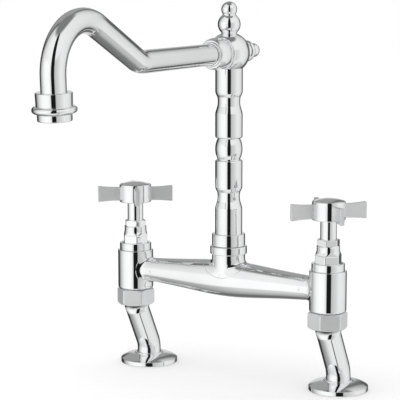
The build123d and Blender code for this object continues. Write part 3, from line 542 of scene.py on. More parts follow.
def place_piece(name: str, surface: Surface, body: Body, finish: Finish,
                *nodes: str) -> bpy.types.Object:
    """Makes the mesh, rides it on its body and lets it stand for its CAD nodes.

    Args:
        name: name of the piece.
        surface: points in mm and triangles.
        body: rigid body that carries the piece.
        finish: its finish, which also names its slot in the record.
        nodes: CAD nodes that it replaces.

    Returns:
        The finished object.
    """
    mesh = bpy.data.meshes.new(name)
    count = len(surface.triangles)
    mesh.vertices.add(len(surface.points))
    mesh.loops.add(3 * count)
    mesh.polygons.add(count)
    mesh.vertices.foreach_set("co", (surface.points * MM).astype(np.float32).ravel())
    mesh.loops.foreach_set("vertex_index", surface.triangles.astype(np.int32).ravel())
    mesh.polygons.foreach_set("loop_start", 3 * np.arange(count, dtype=np.int32))
    mesh.polygons.foreach_set("use_smooth", ~surface.flat)
    mesh.update(calc_edges=True)
    mesh.validate()
    thing = put_in_scene(name, mesh)
    finish.dress(thing)
    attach(thing, body.value)
    finish.slot()
    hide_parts(*nodes)
    LOG.info("%s: %d triangles", name, count)
    return thing


# ---------------------------------------------------------------- heights shared by the pieces
@dataclass(frozen=True)
class Layout:
    """Main heights and axes of the tap in mm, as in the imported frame."""

    valve_reach: float = 90.0
    valve_y: float = -20.0
    nut_foot: float = 53.8
    nut_top: float = 67.2
    body_foot: float = 67.5
    body_top: float = 100.1
    bridge_z: float = 84.3
    ring_top: float = 111.5
    bonnet_top: float = 124.9
    hub_foot: float = 140.0
    hub_top: float = 154.8
    column_foot: float = 111.8
    column_head: float = 254.2
    ball_z: float = 266.498

    def valve_x(self, side: Side) -> float:
        """Place of a valve along the bridge."""
        return side.value * self.valve_reach

    @property
    def bridge_middle(self) -> Place:
        """Middle of the bridge's level axis."""
        return (0.0, self.valve_y, self.bridge_z)

    def upright(self, x: float = 0.0, turn: float = 90.0) -> Lathe:
        """Upright axis in the valves' plane; turn swings its first spoke from the front to +X."""
        start = (float(np.sin(np.radians(turn))), -float(np.cos(np.radians(turn))), 0.0)
        return Lathe((x, self.valve_y, 0.0), start=start)

    def level(self, way: float = -1.0) -> Lathe:
        """Level axis through the elbow ball: way -1 is towards the spout's mouth, 1 to the back."""
        return Lathe((0.0, self.valve_y, self.ball_z), (0.0, way, 0.0))


@dataclass(frozen=True)
class ValvePart:
    """Anything that stands once on each side of the tap."""

    side: Side
    layout: Layout

    @property
    def x(self) -> float:
        """Place along the bridge."""
        return self.layout.valve_x(self.side)

    def place(self, piece: str, surface: Surface, body: Body, finish: Finish,
              node_name: str) -> None:
        """Places a piece for a CAD node, both with this side's word before their names."""
        word = self.side.word
        place_piece(f"{word}_{piece}", surface, body, finish, f"{word}_{node_name}")


# ---------------------------------------------------------------- legs
@dataclass(frozen=True)
class DeckLeg(ValvePart):
    """One cranked leg with its flange and union nut."""

    nut_turn: float
    thread_radius: float = 10.48
    tube_radius: float = 9.8
    setback: float = 20.0
    tilt: float = 28.0
    bend_radius: float = 20.0
    nut_gap: float = 0.3
    tail: float = 60.0
    relief: tuple[float, float, float] = (-42.3, -40.3, 9.58)
    flange_radius: float = 23.85
    recess_radius: float = 21.8
    recess_depth: float = 1.65
    rim: float = 3.5
    dome: float = 4.2
    dome_middle: Point = (18.6, 2.75)
    hole_gap: float = 0.15
    hole_height: float = 1.6
    lip: Point = (1.1, 0.7)
    nut_flats: float = 27.7
    nut_hole: float = 8.75

    def tube(self) -> Surface:
        """Tail, bend and sloping run: along the bend the route's heading turns by the tilt.

        Returns:
            The closed leg.
        """
        tilt = np.radians(self.tilt)
        corner = self.layout.nut_foot - self.nut_gap - self.setback / np.tan(tilt)
        foot = corner - self.bend_radius * np.tan(tilt / 2)
        low, high, waist = self.relief
        thread, plain, end = self.thread_radius, self.tube_radius, -self.tail
        step = self.rim + self.dome + self.lip[1]
        tail_z, tail_r = np.array([
            (end, thread - 0.5), (end + 0.1, thread - 0.4), (end + 0.6, thread),
            (low - 0.4, thread), (low, thread), (low + 0.05, waist), (low + 0.3, waist),
            (high - 0.3, waist), (high - 0.05, waist), (high, thread), (high + 0.4, thread),
            (0.0, thread), (step - 0.1, thread), (step, thread - 0.1), (step + 0.02, plain),
            (step + 0.3, plain), (foot, plain)]).T
        turn = np.linspace(0, tilt, 25)[1:]
        bend_y = -self.bend_radius * (1 - np.cos(turn))
        bend_z = foot + self.bend_radius * np.sin(turn)
        run = (self.layout.nut_foot - bend_z[-1]) / np.cos(tilt) * np.linspace(0, 1, 8)[1:]
        y = np.r_[0 * tail_z, bend_y, bend_y[-1] - run * np.sin(tilt)]
        z = np.r_[tail_z, bend_z, bend_z[-1] + run * np.cos(tilt)]
        heading = np.r_[0 * tail_z, turn, np.full(len(run), tilt)]
        radii = np.r_[tail_r, np.full(len(turn) + len(run), plain)]
        return swept(table(self.x, y, z), table(0.0, np.cos(heading), np.sin(heading)), radii)

    def flange(self) -> Surface:
        """Domed flange: a rim, a dome that eases into the lip, and a hollow underside.

        Returns:
            The closed flange.
        """
        outer, inner, crown = self.flange_radius, self.recess_radius, self.rim + self.dome
        hole = self.thread_radius + self.hole_gap
        lip, top = hole + self.lip[0], crown + self.lip[1]
        edge = (outer - 0.5, self.rim + 0.35)
        middle = (self.dome_middle[0], self.rim + self.dome_middle[1])
        return Lathe((self.x, 0.0, 0.0)).hollow(
            softened([(inner, 0.0), (outer, 0.0), (outer, self.rim), edge], 0.5),
            arc_through(edge, middle, (lip, crown), 24),
            softened([(lip, crown), (lip, top), (hole, top), (hole, crown - self.hole_height),
                      (inner, self.recess_depth), (inner, 0.0)], 0.3))

    def union_nut(self) -> Surface:
        """Hexagon nut: flats all the way, with a 30 degree cone at both ends.

        Returns:
            The closed nut.
        """
        flat, corner, hole = self.nut_flats / 2, self.nut_flats / 3**0.5, self.nut_hole
        low, high = self.layout.nut_foot, self.layout.nut_top
        inside, beyond, face = 0.2, 0.4, flat - 0.6
        cone = (corner - flat) * np.tan(np.radians(30))
        share = np.linspace(0, 1, 9)
        lower = table(flat - inside + (corner - flat + inside + beyond) * share,
                      low + (cone + inside) * share)
        upper = mirrored(lower, low + high)
        wall = table(corner + beyond, np.linspace(lower[-1, 1], upper[0, 1], 9))
        foot = [(hole, low + 0.2), (hole + 0.2, low), (face, low)]
        head = [(face, high), (hole + 0.2, high), (hole, high), (hole, high - 0.2)]
        outline = joined(foot, lower, wall, upper, head)
        axis = self.layout.upright(self.x, self.nut_turn)
        return axis.faceted(outline, np.full(len(outline), self.nut_flats))

    def build(self) -> None:
        """Makes and dresses the pieces of this leg."""
        self.place("leg_tube", self.tube(), Body.BASE, Finish.CHROME, "leg")
        self.place("flange_shell", self.flange(), Body.BASE, Finish.CHROME, "flange")
        self.place("nut_shell", self.union_nut(), Body.BASE, Finish.MILLED_CHROME, "union_nut")


# ---------------------------------------------------------------- headwork and handles
@dataclass(frozen=True)
class Headwork(ValvePart):
    """Bonnet of one valve: round flange, hexagon skirt, cove, shank and hexagon lip."""

    turn: float
    flange_radius: float = 13.1
    flange_height: float = 5.9
    skirt_flats: float = 19.0
    skirt_height: float = 6.5
    cove_height: float = 4.2
    cove_radius: float = 9.51
    shank_radius: float = 9.1
    shank_height: float = 3.2
    lip_flats: float = 16.3
    lip_bevel: float = 0.75
    bore: float = 6.8

    def bonnet(self) -> Surface:
        """One closed outline; the skirt and the lip are cut by their hexagons.

        Returns:
            The closed bonnet.
        """
        foot, top = self.layout.body_top, self.layout.bonnet_top
        bore, bevel = self.bore, self.lip_bevel
        skirt = foot + self.flange_height
        cove = skirt + self.skirt_height
        shank = cove + self.cove_height
        lip = shank + self.shank_height
        corner, lip_corner = self.skirt_flats / 3**0.5, self.lip_flats / 3**0.5
        face, wide, wall = self.lip_flats / 2 - 0.4, corner + 0.3, lip_corner + 0.2
        flange = softened([(bore, foot), (self.flange_radius, foot), (self.flange_radius, skirt),
                           (self.skirt_flats / 2 - 0.4, skirt)], 0.5)
        skirt_run = joined([(corner - 0.1, skirt + 0.01), (wide, skirt + 0.5)],
                           np.linspace((wide, skirt + 0.8), (wide, cove), 6))
        cove_run = arc_through((corner, cove), (self.cove_radius, (cove + shank) / 2),
                               (self.shank_radius, shank), 24)
        shank_run = table(self.shank_radius, np.linspace(shank + 0.1, lip - 0.02, 3))
        lip_run = joined([(lip_corner - 1.0, lip)],
                         np.linspace((lip_corner - 0.9, lip + 0.05), (wall, lip + bevel), 5),
                         np.linspace((wall, lip + 0.9), (wall, top - 0.9), 6),
                         np.linspace((wall, top - bevel), (face, top), 5))
        bore_run = softened([(face, top), (bore, top), (bore, foot)], 0.3)
        runs = (flange, skirt_run, cove_run, shank_run, lip_run, bore_run)
        flats = (0.0, self.skirt_flats, self.skirt_flats, 0.0, self.lip_flats, 0.0)
        width = np.repeat(flats, [len(run) for run in runs])
        return self.layout.upright(self.x, self.turn).faceted(np.concatenate(runs), width)

    def build(self) -> None:
        """Makes and dresses the bonnet."""
        self.place("bonnet_shell", self.bonnet(), Body.BASE, Finish.CHROME, "bonnet")


@dataclass(frozen=True)
class CrossHandle(ValvePart):
    """Hub, four flared blades, domed cap and sleeve of one handle."""

    turn: float
    hub_radius: float = 13.1
    rim: float = 1.1
    recess: float = 2.2
    bore: float = 4.15
    cap_gap: float = 0.15
    cap_dome: float = 2.3
    sleeve_radius: float = 6.5
    sleeve_depth: float = 3.0
    blade_root: float = 9.0
    blade_reach: float = 30.8
    flare_start: float = 15.0
    root_half: float = 5.6
    tip_half: float = 6.7
    thick_half: float = 1.9
    bulge: float = 0.7
    bulge_start: float = 2.0
    drop: float = 0.6
    corner: float = 0.7
    corner_share: float = 0.6

    def hub(self) -> Surface:
        """Turned hub with a rim ring round its recess and a bore for the spindle.

        Returns:
            The closed hub.
        """
        low, high, bore = self.layout.hub_foot, self.layout.hub_top, self.bore
        outer, inner, seat = self.hub_radius, self.hub_radius - self.rim, high - self.recess
        return self.layout.upright(self.x).hollow(
            [(bore, low)],
            softened([(bore + 0.05, low), (outer, low), (outer, high), (inner, high),
                      (inner, seat), (bore + 0.05, seat)], 0.8),
            [(bore, seat), (bore, low)])

    def blade(self, quarter: int) -> Surface:
        """Blade: a rounded rectangle carried outwards, its height flaring along an arc.

        The half height at distance s is root + (tip - root) * q^2 with q from 0 at flare_start
        to 1 at the tip; the last rows shrink by corner * (1 - cos a) while they step out by
        corner * sin a, and the tip bulges by bulge * (1 - (z / half height)^2).

        Args:
            quarter: which of the four blades.

        Returns:
            The closed blade.
        """
        turn = np.radians(self.turn + 90 * quarter)
        out = np.array([np.sin(turn), -np.cos(turn), 0.0])
        sideways = np.array([-out[1], out[0], 0.0])
        reach = self.blade_reach - self.corner
        run = np.r_[np.linspace(self.blade_root, reach - 0.3, 26), reach]
        cap = np.radians(np.linspace(15, 90, 6))
        distance = np.r_[run, reach + self.corner * np.sin(cap)]
        inset = np.r_[0 * run, self.corner * (1 - np.cos(cap))]
        share = np.clip((distance - self.flare_start) / (self.blade_reach - self.flare_start), 0, 1)
        high = self.root_half + (self.tip_half - self.root_half) * share**2 - inset
        wide = self.thick_half - inset
        angle = np.radians(np.linspace(0, 90, 7))
        quarter_arc = table(np.cos(angle), np.sin(angle))
        directions = np.concatenate([quarter_arc, quarter_arc[::-1] * [-1, 1],
                                     -quarter_arc, quarter_arc[::-1] * [1, -1]])
        signs = np.repeat([[1, 1], [-1, 1], [-1, -1], [1, -1]], len(angle), axis=0)
        radius = np.minimum(self.corner, wide * self.corner_share)[:, None]
        across = signs[:, 0] * (wide[:, None] - radius) + radius * directions[:, 0]
        upward = signs[:, 1] * (high[:, None] - radius) + radius * directions[:, 1]
        near_tip = np.clip((distance - reach) / self.bulge_start + 1, 0, 1)[:, None]
        away = distance[:, None] + near_tip * self.bulge * (1 - (upward / self.tip_half) ** 2)
        middle = (self.layout.hub_foot + self.layout.hub_top) / 2 - self.drop
        axis = np.array([self.x, self.layout.valve_y, middle])
        grid = (axis + away[..., None] * out + across[..., None] * sideways
                + upward[..., None] * np.array([0.0, 0.0, 1.0]))
        return Surface.closed_grid(grid)

    def cap(self) -> Surface:
        """Domed cap: a flat ball segment over a short edge.

        Returns:
            The closed cap.
        """
        seat, high = self.layout.hub_top - self.recess, self.layout.hub_top
        edge = self.hub_radius - self.rim - self.cap_gap
        ball = (edge**2 + self.cap_dome**2) / (2 * self.cap_dome)
        dome = ball_arc(high + self.cap_dome - ball, ball, high, high + self.cap_dome, 24)
        side = softened([(1.0, seat), (edge, seat), (edge, high - 0.2), tuple(dome[2])], 0.3)
        return self.layout.upright(self.x).turned([(0.0, seat)], side, dome[2:])

    def sleeve(self) -> Surface:
        """Plain sleeve between bonnet and hub, with softened ends.

        Returns:
            The closed sleeve.
        """
        low, high = self.layout.bonnet_top - self.sleeve_depth, self.layout.hub_foot
        bore, outer = self.bore, self.sleeve_radius
        return self.layout.upright(self.x).hollow(looped(
            [(bore, low + 1), (bore, low), (outer, low), (outer, high), (bore, high)], 0.3))

    def build(self) -> None:
        """Makes and dresses the pieces of this handle."""
        body = Body[f"{self.side.name}_HANDLE"]
        blades = Surface.merged(*(self.blade(quarter) for quarter in range(4)))
        self.place("hub", self.hub(), body, Finish.CHROME, "crosshead")
        self.place("blades", blades, body, Finish.MILLED_CHROME, "crosshead")
        self.place("dome", self.cap(), body, Finish.CHROME, "cap")
        self.place("sleeve_shell", self.sleeve(), body, Finish.CHROME, "sleeve")


# ---------------------------------------------------------------- bridge
@dataclass(frozen=True)
class Bridge:
    """The casting: two valve bodies, the spindle-shaped bridge, the neck and its ring."""

    layout: Layout
    body_radius: float = 14.7
    top_edge: float = 0.6
    foot_edge: float = 1.6
    edge_middle: float = 0.293
    spigot_radius: float = 12.0
    spigot_foot: float = 60.4
    passage: float = 6.0
    bore_radius: float = 9.2
    bore_depth: float = 22.0
    middle_radius: float = 14.8
    fall: float = 7.97
    fall_width: float = 57.0
    flare: float = 5.2
    side_spans: Point = (10.0, 4.3)
    neck_radius: float = 13.4
    neck_flare: float = 8.5
    ring_radius: float = 14.9
    ring_height: float = 6.4
    ring_round: float = 1.2
    seat_radius: float = 12.35
    seat_depth: float = 1.15
    socket_radius: float = 9.6
    socket_depth: float = 24.0
    duct_radius: float = 3.0
    duct_depth: float = 8.0

    def girth(self, x: Array) -> Array:
        """Radius of the bridge at x: middle less a bell of fall x^2 / (width^2 + x^2)."""
        return self.middle_radius - self.fall * x**2 / (self.fall_width**2 + x**2)

    def slope(self, x: Array, step: float = 0.05) -> Array:
        """How steeply the radius changes along the bridge."""
        return (self.girth(x + step) - self.girth(x - step)) / (2 * step)

    def spindle(self) -> Surface:
        """The bridge itself, turned about its level axis.

        Returns:
            The closed spindle.
        """
        reach = self.layout.valve_reach - self.body_radius / 2
        x = np.linspace(-reach, reach, 121)
        axis = Lathe(self.layout.bridge_middle, (1.0, 0.0, 0.0), (0.0, 0.0, 1.0))
        return axis.turned(table(self.girth(x), x), spokes=FINE_SPOKES)

    def valve_body(self, side: Side) -> Surface:
        """Upright body with rounded edges over the spigot of the union, open at the top.

        Args:
            side: which valve.

        Returns:
            The closed body.
        """
        low, high = self.layout.body_foot, self.layout.body_top
        spigot, seat, passage = self.spigot_foot, high - self.bore_depth, self.passage
        radius, part = self.body_radius, self.edge_middle
        lower, upper = (arc_through((radius - edge, end),
                                    (radius - edge * part, end + way * edge * part),
                                    (radius, end + way * edge), 14)
                        for end, edge, way in ((low, self.foot_edge, 1), (high, self.top_edge, -1)))
        outside = softened([(passage, spigot + 1), (passage, spigot), (self.spigot_radius, spigot),
                            (self.spigot_radius, low), tuple(lower[0])], 0.3)
        inside = softened([tuple(upper[0]), (self.bore_radius, high), (self.bore_radius, seat),
                           (passage, seat), (passage, spigot + 1)], 0.3)
        axis = self.layout.upright(self.layout.valve_x(side))
        return axis.hollow(outside, lower, upper[::-1], inside)

    def neck(self) -> Surface:
        """Neck and its ring, with the socket for the column and the duct under it.

        Returns:
            The closed neck.
        """
        top, radius, mouth = self.layout.ring_top, self.neck_radius, self.seat_radius
        foot, seat, socket = (top - depth for depth in (self.ring_height, self.seat_depth,
                                                        self.socket_depth))
        low = socket - self.duct_depth
        ring = softened([(radius, foot), (self.ring_radius, foot), (self.ring_radius, top),
                         (mouth, top)], self.ring_round)
        inside = softened([(mouth, top), (mouth, seat), (self.socket_radius, seat),
                           (self.socket_radius, socket), (self.duct_radius, socket)], 0.2)
        return self.layout.upright().hollow(
            [(self.duct_radius, socket), (self.duct_radius, low), (radius, low)],
            np.linspace((radius, socket), (radius, foot - 0.1), 8), ring, inside)

    @staticmethod
    def blended(upper: Array, down: Array, lower: Array, back: Array) -> Surface:
        """Concave corner: for each point round it a curve that leaves both faces smoothly.

        The curve from U to L is the Bezier curve of degree 5 over U, U+D/2, U+D, L+B, L+B/2, L.
        D and B follow the faces' directions as far as the point where they pass closest, so
        neither slope nor curvature jumps. The rows that close it inside the casting are flat
        and leave the shading of the skin alone.

        Args:
            upper: where the curves leave the first face, shape (n, 3).
            down: direction of the first face there.
            lower: where they reach the second face.
            back: direction of the second face there, towards the corner.

        Returns:
            The closed ring of curves.
        """
        down, back = (way / np.linalg.norm(way, axis=1, keepdims=True) for way in (down, back))
        gap, turned = upper - lower, (down * back).sum(1, keepdims=True)
        ahead, aside = ((way * gap).sum(1, keepdims=True) for way in (down, back))
        down = down * (turned * aside - ahead) / (1 - turned**2)
        back = back * (aside - turned * ahead) / (1 - turned**2)
        t = np.linspace(0, 1, 33)[:, None, None]
        ends = (upper, upper + down / 2, upper + down, lower + back, lower + back / 2, lower)
        skin = sum(factor * (1 - t) ** (5 - power) * t**power * end
                   for power, (factor, end) in enumerate(zip((1, 5, 10, 10, 5, 1), ends)))
        middle = (upper + down + lower + back) / 2
        made = Surface.ring_grid(np.concatenate([skin, middle[None]]))
        made.flat = (made.triangles >= skin.shape[0] * skin.shape[1]).any(axis=1)
        return made

    def neck_corner(self) -> Surface:
        """Corner round the neck: it leaves the neck upright and lies down on the bridge.

        The steeper the two faces meet, the longer it is: neck_flare * tan(angle / 2)^0.5.

        Returns:
            The closed corner.
        """
        turn = full_turn(SPOKES * 2)
        x, y = self.neck_radius * np.cos(turn), self.neck_radius * np.sin(turn)
        girth = self.girth(x)
        roll = np.arcsin(y / girth)
        bend = np.arccos(np.sin(turn) * np.sin(roll))
        length = self.neck_flare * np.tan(bend / 2) ** 0.5
        upper = table(x, y, girth * np.cos(roll) + length)
        far_x = x + length * np.cos(turn)
        far_girth = self.girth(far_x)
        far_roll = roll + length * np.sin(turn) / far_girth
        lower = table(far_x, far_girth * np.sin(far_roll), far_girth * np.cos(far_roll))
        down = np.tile([0.0, 0.0, -1.0], (len(turn), 1))
        steep = self.slope(far_x) * np.cos(turn)
        back = -table(np.cos(turn), steep * np.sin(far_roll) + np.cos(far_roll) * np.sin(turn),
                      steep * np.cos(far_roll) - np.sin(far_roll) * np.sin(turn))
        shift = self.layout.bridge_middle
        return self.blended(upper + shift, down, lower + shift, back)

    def body_corner(self, side: Side) -> Surface:
        """Corner where the bridge runs into a valve body, all the way round the bridge.

        Above and below it spans the same length on both faces, at the sides one length along
        the bridge and another round the body. The square of cos(roll) leads from one to the
        other.

        Args:
            side: which valve body.

        Returns:
            The closed corner.
        """
        roll = full_turn(SPOKES * 2)
        reach, radius = self.layout.valve_reach, self.body_radius
        x = np.full(len(roll), reach - radius)
        for _ in range(6):
            x = reach - np.sqrt(radius**2 - (self.girth(x) * np.cos(roll)) ** 2)
        girth = self.girth(x)
        length, around = (self.flare + (span - self.flare) * np.cos(roll) ** 2
                          for span in self.side_spans)
        near, steep = self.girth(x - length), self.slope(x - length)
        inner = table(x - length, near * np.cos(roll), near * np.sin(roll))
        along = table(1.0, steep * np.cos(roll), steep * np.sin(roll))
        swing = np.arcsin(girth * np.cos(roll) / radius) + around * np.cos(roll) / radius
        outer = table(reach - radius * np.cos(swing), radius * np.sin(swing),
                      (girth + around) * np.sin(roll))
        back = -table(np.sin(swing) * np.cos(roll), np.cos(swing) * np.cos(roll), np.sin(roll))
        flip, shift = np.array([side.value, 1, 1]), self.layout.bridge_middle
        return self.blended(inner * flip + shift, along * flip, outer * flip + shift, back * flip)

    def build(self) -> None:
        """Makes and dresses the casting."""
        shells = [self.spindle(), self.neck(), self.neck_corner()]
        shells += [make(side) for make in (self.valve_body, self.body_corner) for side in Side]
        place_piece("bridge_casting", Surface.merged(*shells), Body.BASE, Finish.CHROME,
                    "bridge_body")


@dataclass(frozen=True)
class SpoutPart:
    """Anything that swings with the spout."""

    layout: Layout

    @staticmethod
    def place(piece: str, surface: Surface, node_name: str) -> None:
        """Places a plated piece of the spout's body for a CAD node."""
        place_piece(piece, surface, Body.SPOUT, Finish.CHROME, node_name)


# ---------------------------------------------------------------- swivel column
@dataclass(frozen=True)
class Column(SpoutPart):
    """Turned column with two waists and a ball bead, and the trim collar at its foot."""

    radius: float = 11.0
    bore: float = 6.4
    spigot_radius: float = 9.55
    spigot_depth: float = 23.7
    nose_radius: float = 8.0
    nose_height: float = 8.0
    collar_radius: float = 13.42
    collar_height: float = 9.8
    collar_gap: float = 0.01
    collar_edge: float = 0.5
    lower: float = 20.9
    waist_length: float = 17.0
    waist_span: Point = (0.29, 0.76)
    middle: float = 19.7
    bead_length: float = 21.4
    upper: float = 18.2
    waist_radius: float = 8.95
    crease_radius: float = 9.4
    shoulder_middle: Point = (0.42, 0.55)
    groove_radius: float = 9.2
    bead_shoulder: Point = (2.2, 2.8)

    def waist(self, foot: float) -> Array:
        """Outline of a waist: near-straight flare, concave arc, crease and quarter round.

        Args:
            foot: height in mm where it starts.

        Returns:
            Points (radius, height), upwards.
        """
        low, high = (foot + self.waist_length * share for share in self.waist_span)
        top, radius, crease = foot + self.waist_length, self.radius, self.crease_radius
        inset, share = self.shoulder_middle
        flare = softened([(radius, foot - 0.3), (radius - 0.25, foot + 0.5),
                          (crease + 0.1, low - 0.2), (crease, low)], 0.6)
        hollow = bow(crease, self.waist_radius, low, high, 18)
        shoulder = arc_through((crease, high), (radius - inset, high + (top - high) * share),
                               (radius, top), 12)
        return joined(flare, hollow, [(crease + 0.02, high + 0.02)], shoulder)

    def bead(self, foot: float) -> Array:
        """Outline of the bead: rounded shoulder, groove, ball, groove, rounded shoulder.

        Args:
            foot: height in mm where it starts.

        Returns:
            Points (radius, height), upwards.
        """
        groove, total = self.groove_radius, 2 * foot + self.bead_length
        shoulder, start = self.bead_shoulder
        half = joined(arc_through((self.radius, foot), (self.radius - 0.45, foot + 1.5),
                                  (groove, foot + shoulder), 8),
                      [(groove - 0.05, foot + shoulder + 0.2), (groove - 0.05, foot + start - 0.2)])
        ball = bow(groove, self.radius, foot + start, total - foot - start, 28)
        return joined(half, ball, mirrored(half, total))

    def tube(self) -> Surface:
        """The whole column as one closed outline, with its spigot, nose and bore.

        Returns:
            The closed column.
        """
        foot, head = self.layout.column_foot, self.layout.column_head
        radius, bore, nose = self.radius, self.bore, head + self.nose_height
        first = foot + self.collar_height + self.lower
        bead = first + self.waist_length + self.middle
        second = bead + self.bead_length + self.upper
        spigot = self.layout.ring_top - self.spigot_depth
        return self.layout.upright().hollow(
            softened([(bore, spigot + 2), (bore, spigot), (self.spigot_radius, spigot),
                      (self.spigot_radius, foot), (radius, foot), (radius, foot + 2)], 0.3),
            [(radius, first - 0.6)], self.waist(first),
            [(radius, first + self.waist_length + 0.3), (radius, bead - 0.3)], self.bead(bead),
            [(radius, bead + self.bead_length + 0.3), (radius, second - 0.6)],
            self.waist(second), [(radius, second + self.waist_length + 0.3)],
            softened([(radius, head - 2), (radius, head), (self.nose_radius, head),
                      (self.nose_radius, nose), (bore, nose), (bore, spigot + 2)], 0.3))

    def collar(self) -> Surface:
        """Plain collar round the column's foot, with a broken upper edge.

        Returns:
            The closed collar.
        """
        low, edge = self.layout.column_foot, self.collar_edge
        bore, outer = self.radius + self.collar_gap, self.collar_radius
        high = low + self.collar_height
        return self.layout.upright().hollow(looped(
            [(bore, low + 1), (bore, low), (outer, low), (outer, high - edge),
             (outer - edge, high), (bore, high)], 0.25))

    def build(self) -> None:
        """Makes and dresses the column."""
        self.place("column_tube", self.tube(), "column")
        self.place("column_collar_shell", self.collar(), "column_collar")


# ---------------------------------------------------------------- elbow
@dataclass(frozen=True)
class Elbow(SpoutPart):
    """Elbow ball with its lobe, the finial on it and the knob behind it."""

    radius: float = 16.5
    step_radius: float = 12.2
    step_width: float = 1.2
    lobe_radius: float = 12.9
    lobe_end: float = 10.9
    reach: float = 28.4
    socket_radius: float = 8.65
    socket_depth: float = 13.0
    flat_radius: float = 11.05
    stud_radius: float = 3.0
    stud_length: float = 5.0
    finial_foot: float = 7.3
    finial_neck: float = 6.1
    finial_waist: float = 5.25
    finial_balls: tuple[Point, Point] = ((7.7, 9.08), (19.4, 6.28))
    knob_foot: float = 6.8
    knob_waist: float = 5.6
    disc_place: float = 8.7
    disc_face: float = 6.2
    disc_radius: float = 8.7
    disc_width: float = 5.0
    knob_ball: Point = (13.8, 5.8)
    knob_neck: float = 4.4

    def ball(self) -> Surface:
        """Ball and lobe turned about the pipe's axis, flattened under finial and column.

        The height of each point near the upright axis is held between the two flats, so the
        ball meets the finial's foot and the column's head on level faces.

        Returns:
            The closed surface.
        """
        back, step_radius = -rise(self.radius, self.knob_foot), self.step_radius
        start = rise(self.radius, step_radius)
        end, floor = start + self.step_width, self.reach - self.socket_depth
        ball = ball_arc(0.0, self.radius, back, start - 0.05, 60)
        step = softened([(ball[-1, 0], start - 0.05), (step_radius, start + 0.1),
                         (step_radius, end), (step_radius - 0.5, end + 0.05),
                         (step_radius - 0.4, end + 0.6)], 0.25)
        lobe = arc_through((step_radius - 0.45, end + 0.5),
                           (self.lobe_radius, (end + self.reach) / 2),
                           (self.lobe_end, self.reach), 36)
        mouth = softened([tuple(lobe[-2]), (self.lobe_end, self.reach),
                          (self.socket_radius, self.reach), (self.socket_radius, floor),
                          (0.0, floor)], 0.3)
        outline = joined([(0.0, back)], ball, step, lobe[:-1], mouth)
        grid = self.layout.level().rings(off_axis(outline), FINE_SPOKES)
        top = self.layout.ball_z + rise(self.radius, self.finial_foot)
        inner = np.hypot(grid[..., 0], grid[..., 1] - self.layout.valve_y) < self.flat_radius
        held = np.clip(grid[..., 2], self.layout.column_head, top)
        grid[..., 2] = np.where(inner, held, grid[..., 2])
        return Surface.closed_grid(grid)

    def finial(self) -> Surface:
        """Two balls on a short foot, and the stud below.

        Returns:
            The closed finial.
        """
        foot, stud = self.layout.ball_z + rise(self.radius, self.finial_foot), self.stud_radius
        (low, big), (high, small) = ((foot + place, ball) for place, ball in self.finial_balls)
        waist, neck, bottom = self.finial_waist, self.finial_neck, foot - self.stud_length
        lower = ball_arc(low, big, low - rise(big, neck), low + rise(big, waist), 36)
        upper = ball_arc(high, small, high - rise(small, waist), high + small, 32)
        side = softened([(stud, bottom), (stud, foot), (self.finial_foot, foot),
                         (neck, foot + 0.5), tuple(lower[0])], 0.2)
        return self.layout.upright().turned([(0.0, bottom)], side, lower, upper)

    def knob(self) -> Surface:
        """Waisted stem, rounded disc, neck and little ball, towards the back.

        Returns:
            The closed knob.
        """
        foot, stud, neck = rise(self.radius, self.knob_foot), self.stud_radius, self.knob_neck
        disc, bottom = foot + self.disc_place, foot - self.stud_length
        end, place, ball = disc + self.disc_width, disc + self.knob_ball[0], self.knob_ball[1]
        stem = bow(self.knob_foot, self.knob_waist, foot, disc, 16)
        rim = bow(self.disc_face, self.disc_radius, disc, end, 20)
        little = ball_arc(place, ball, place - rise(ball, neck), place + ball, 28)
        return self.layout.level(1.0).turned(
            [(0.0, bottom), (stud, bottom), (stud, foot - 0.02)], stem, rim[1:],
            [(neck + 0.2, end), (neck, end + 0.2)], little)

    def build(self) -> None:
        """Makes and dresses the elbow and what it carries."""
        self.place("elbow_ball", self.ball(), "elbow")
        self.place("finial_balls", self.finial(), "finial")
        self.place("rear_knob_turned", self.knob(), "rear_knob")


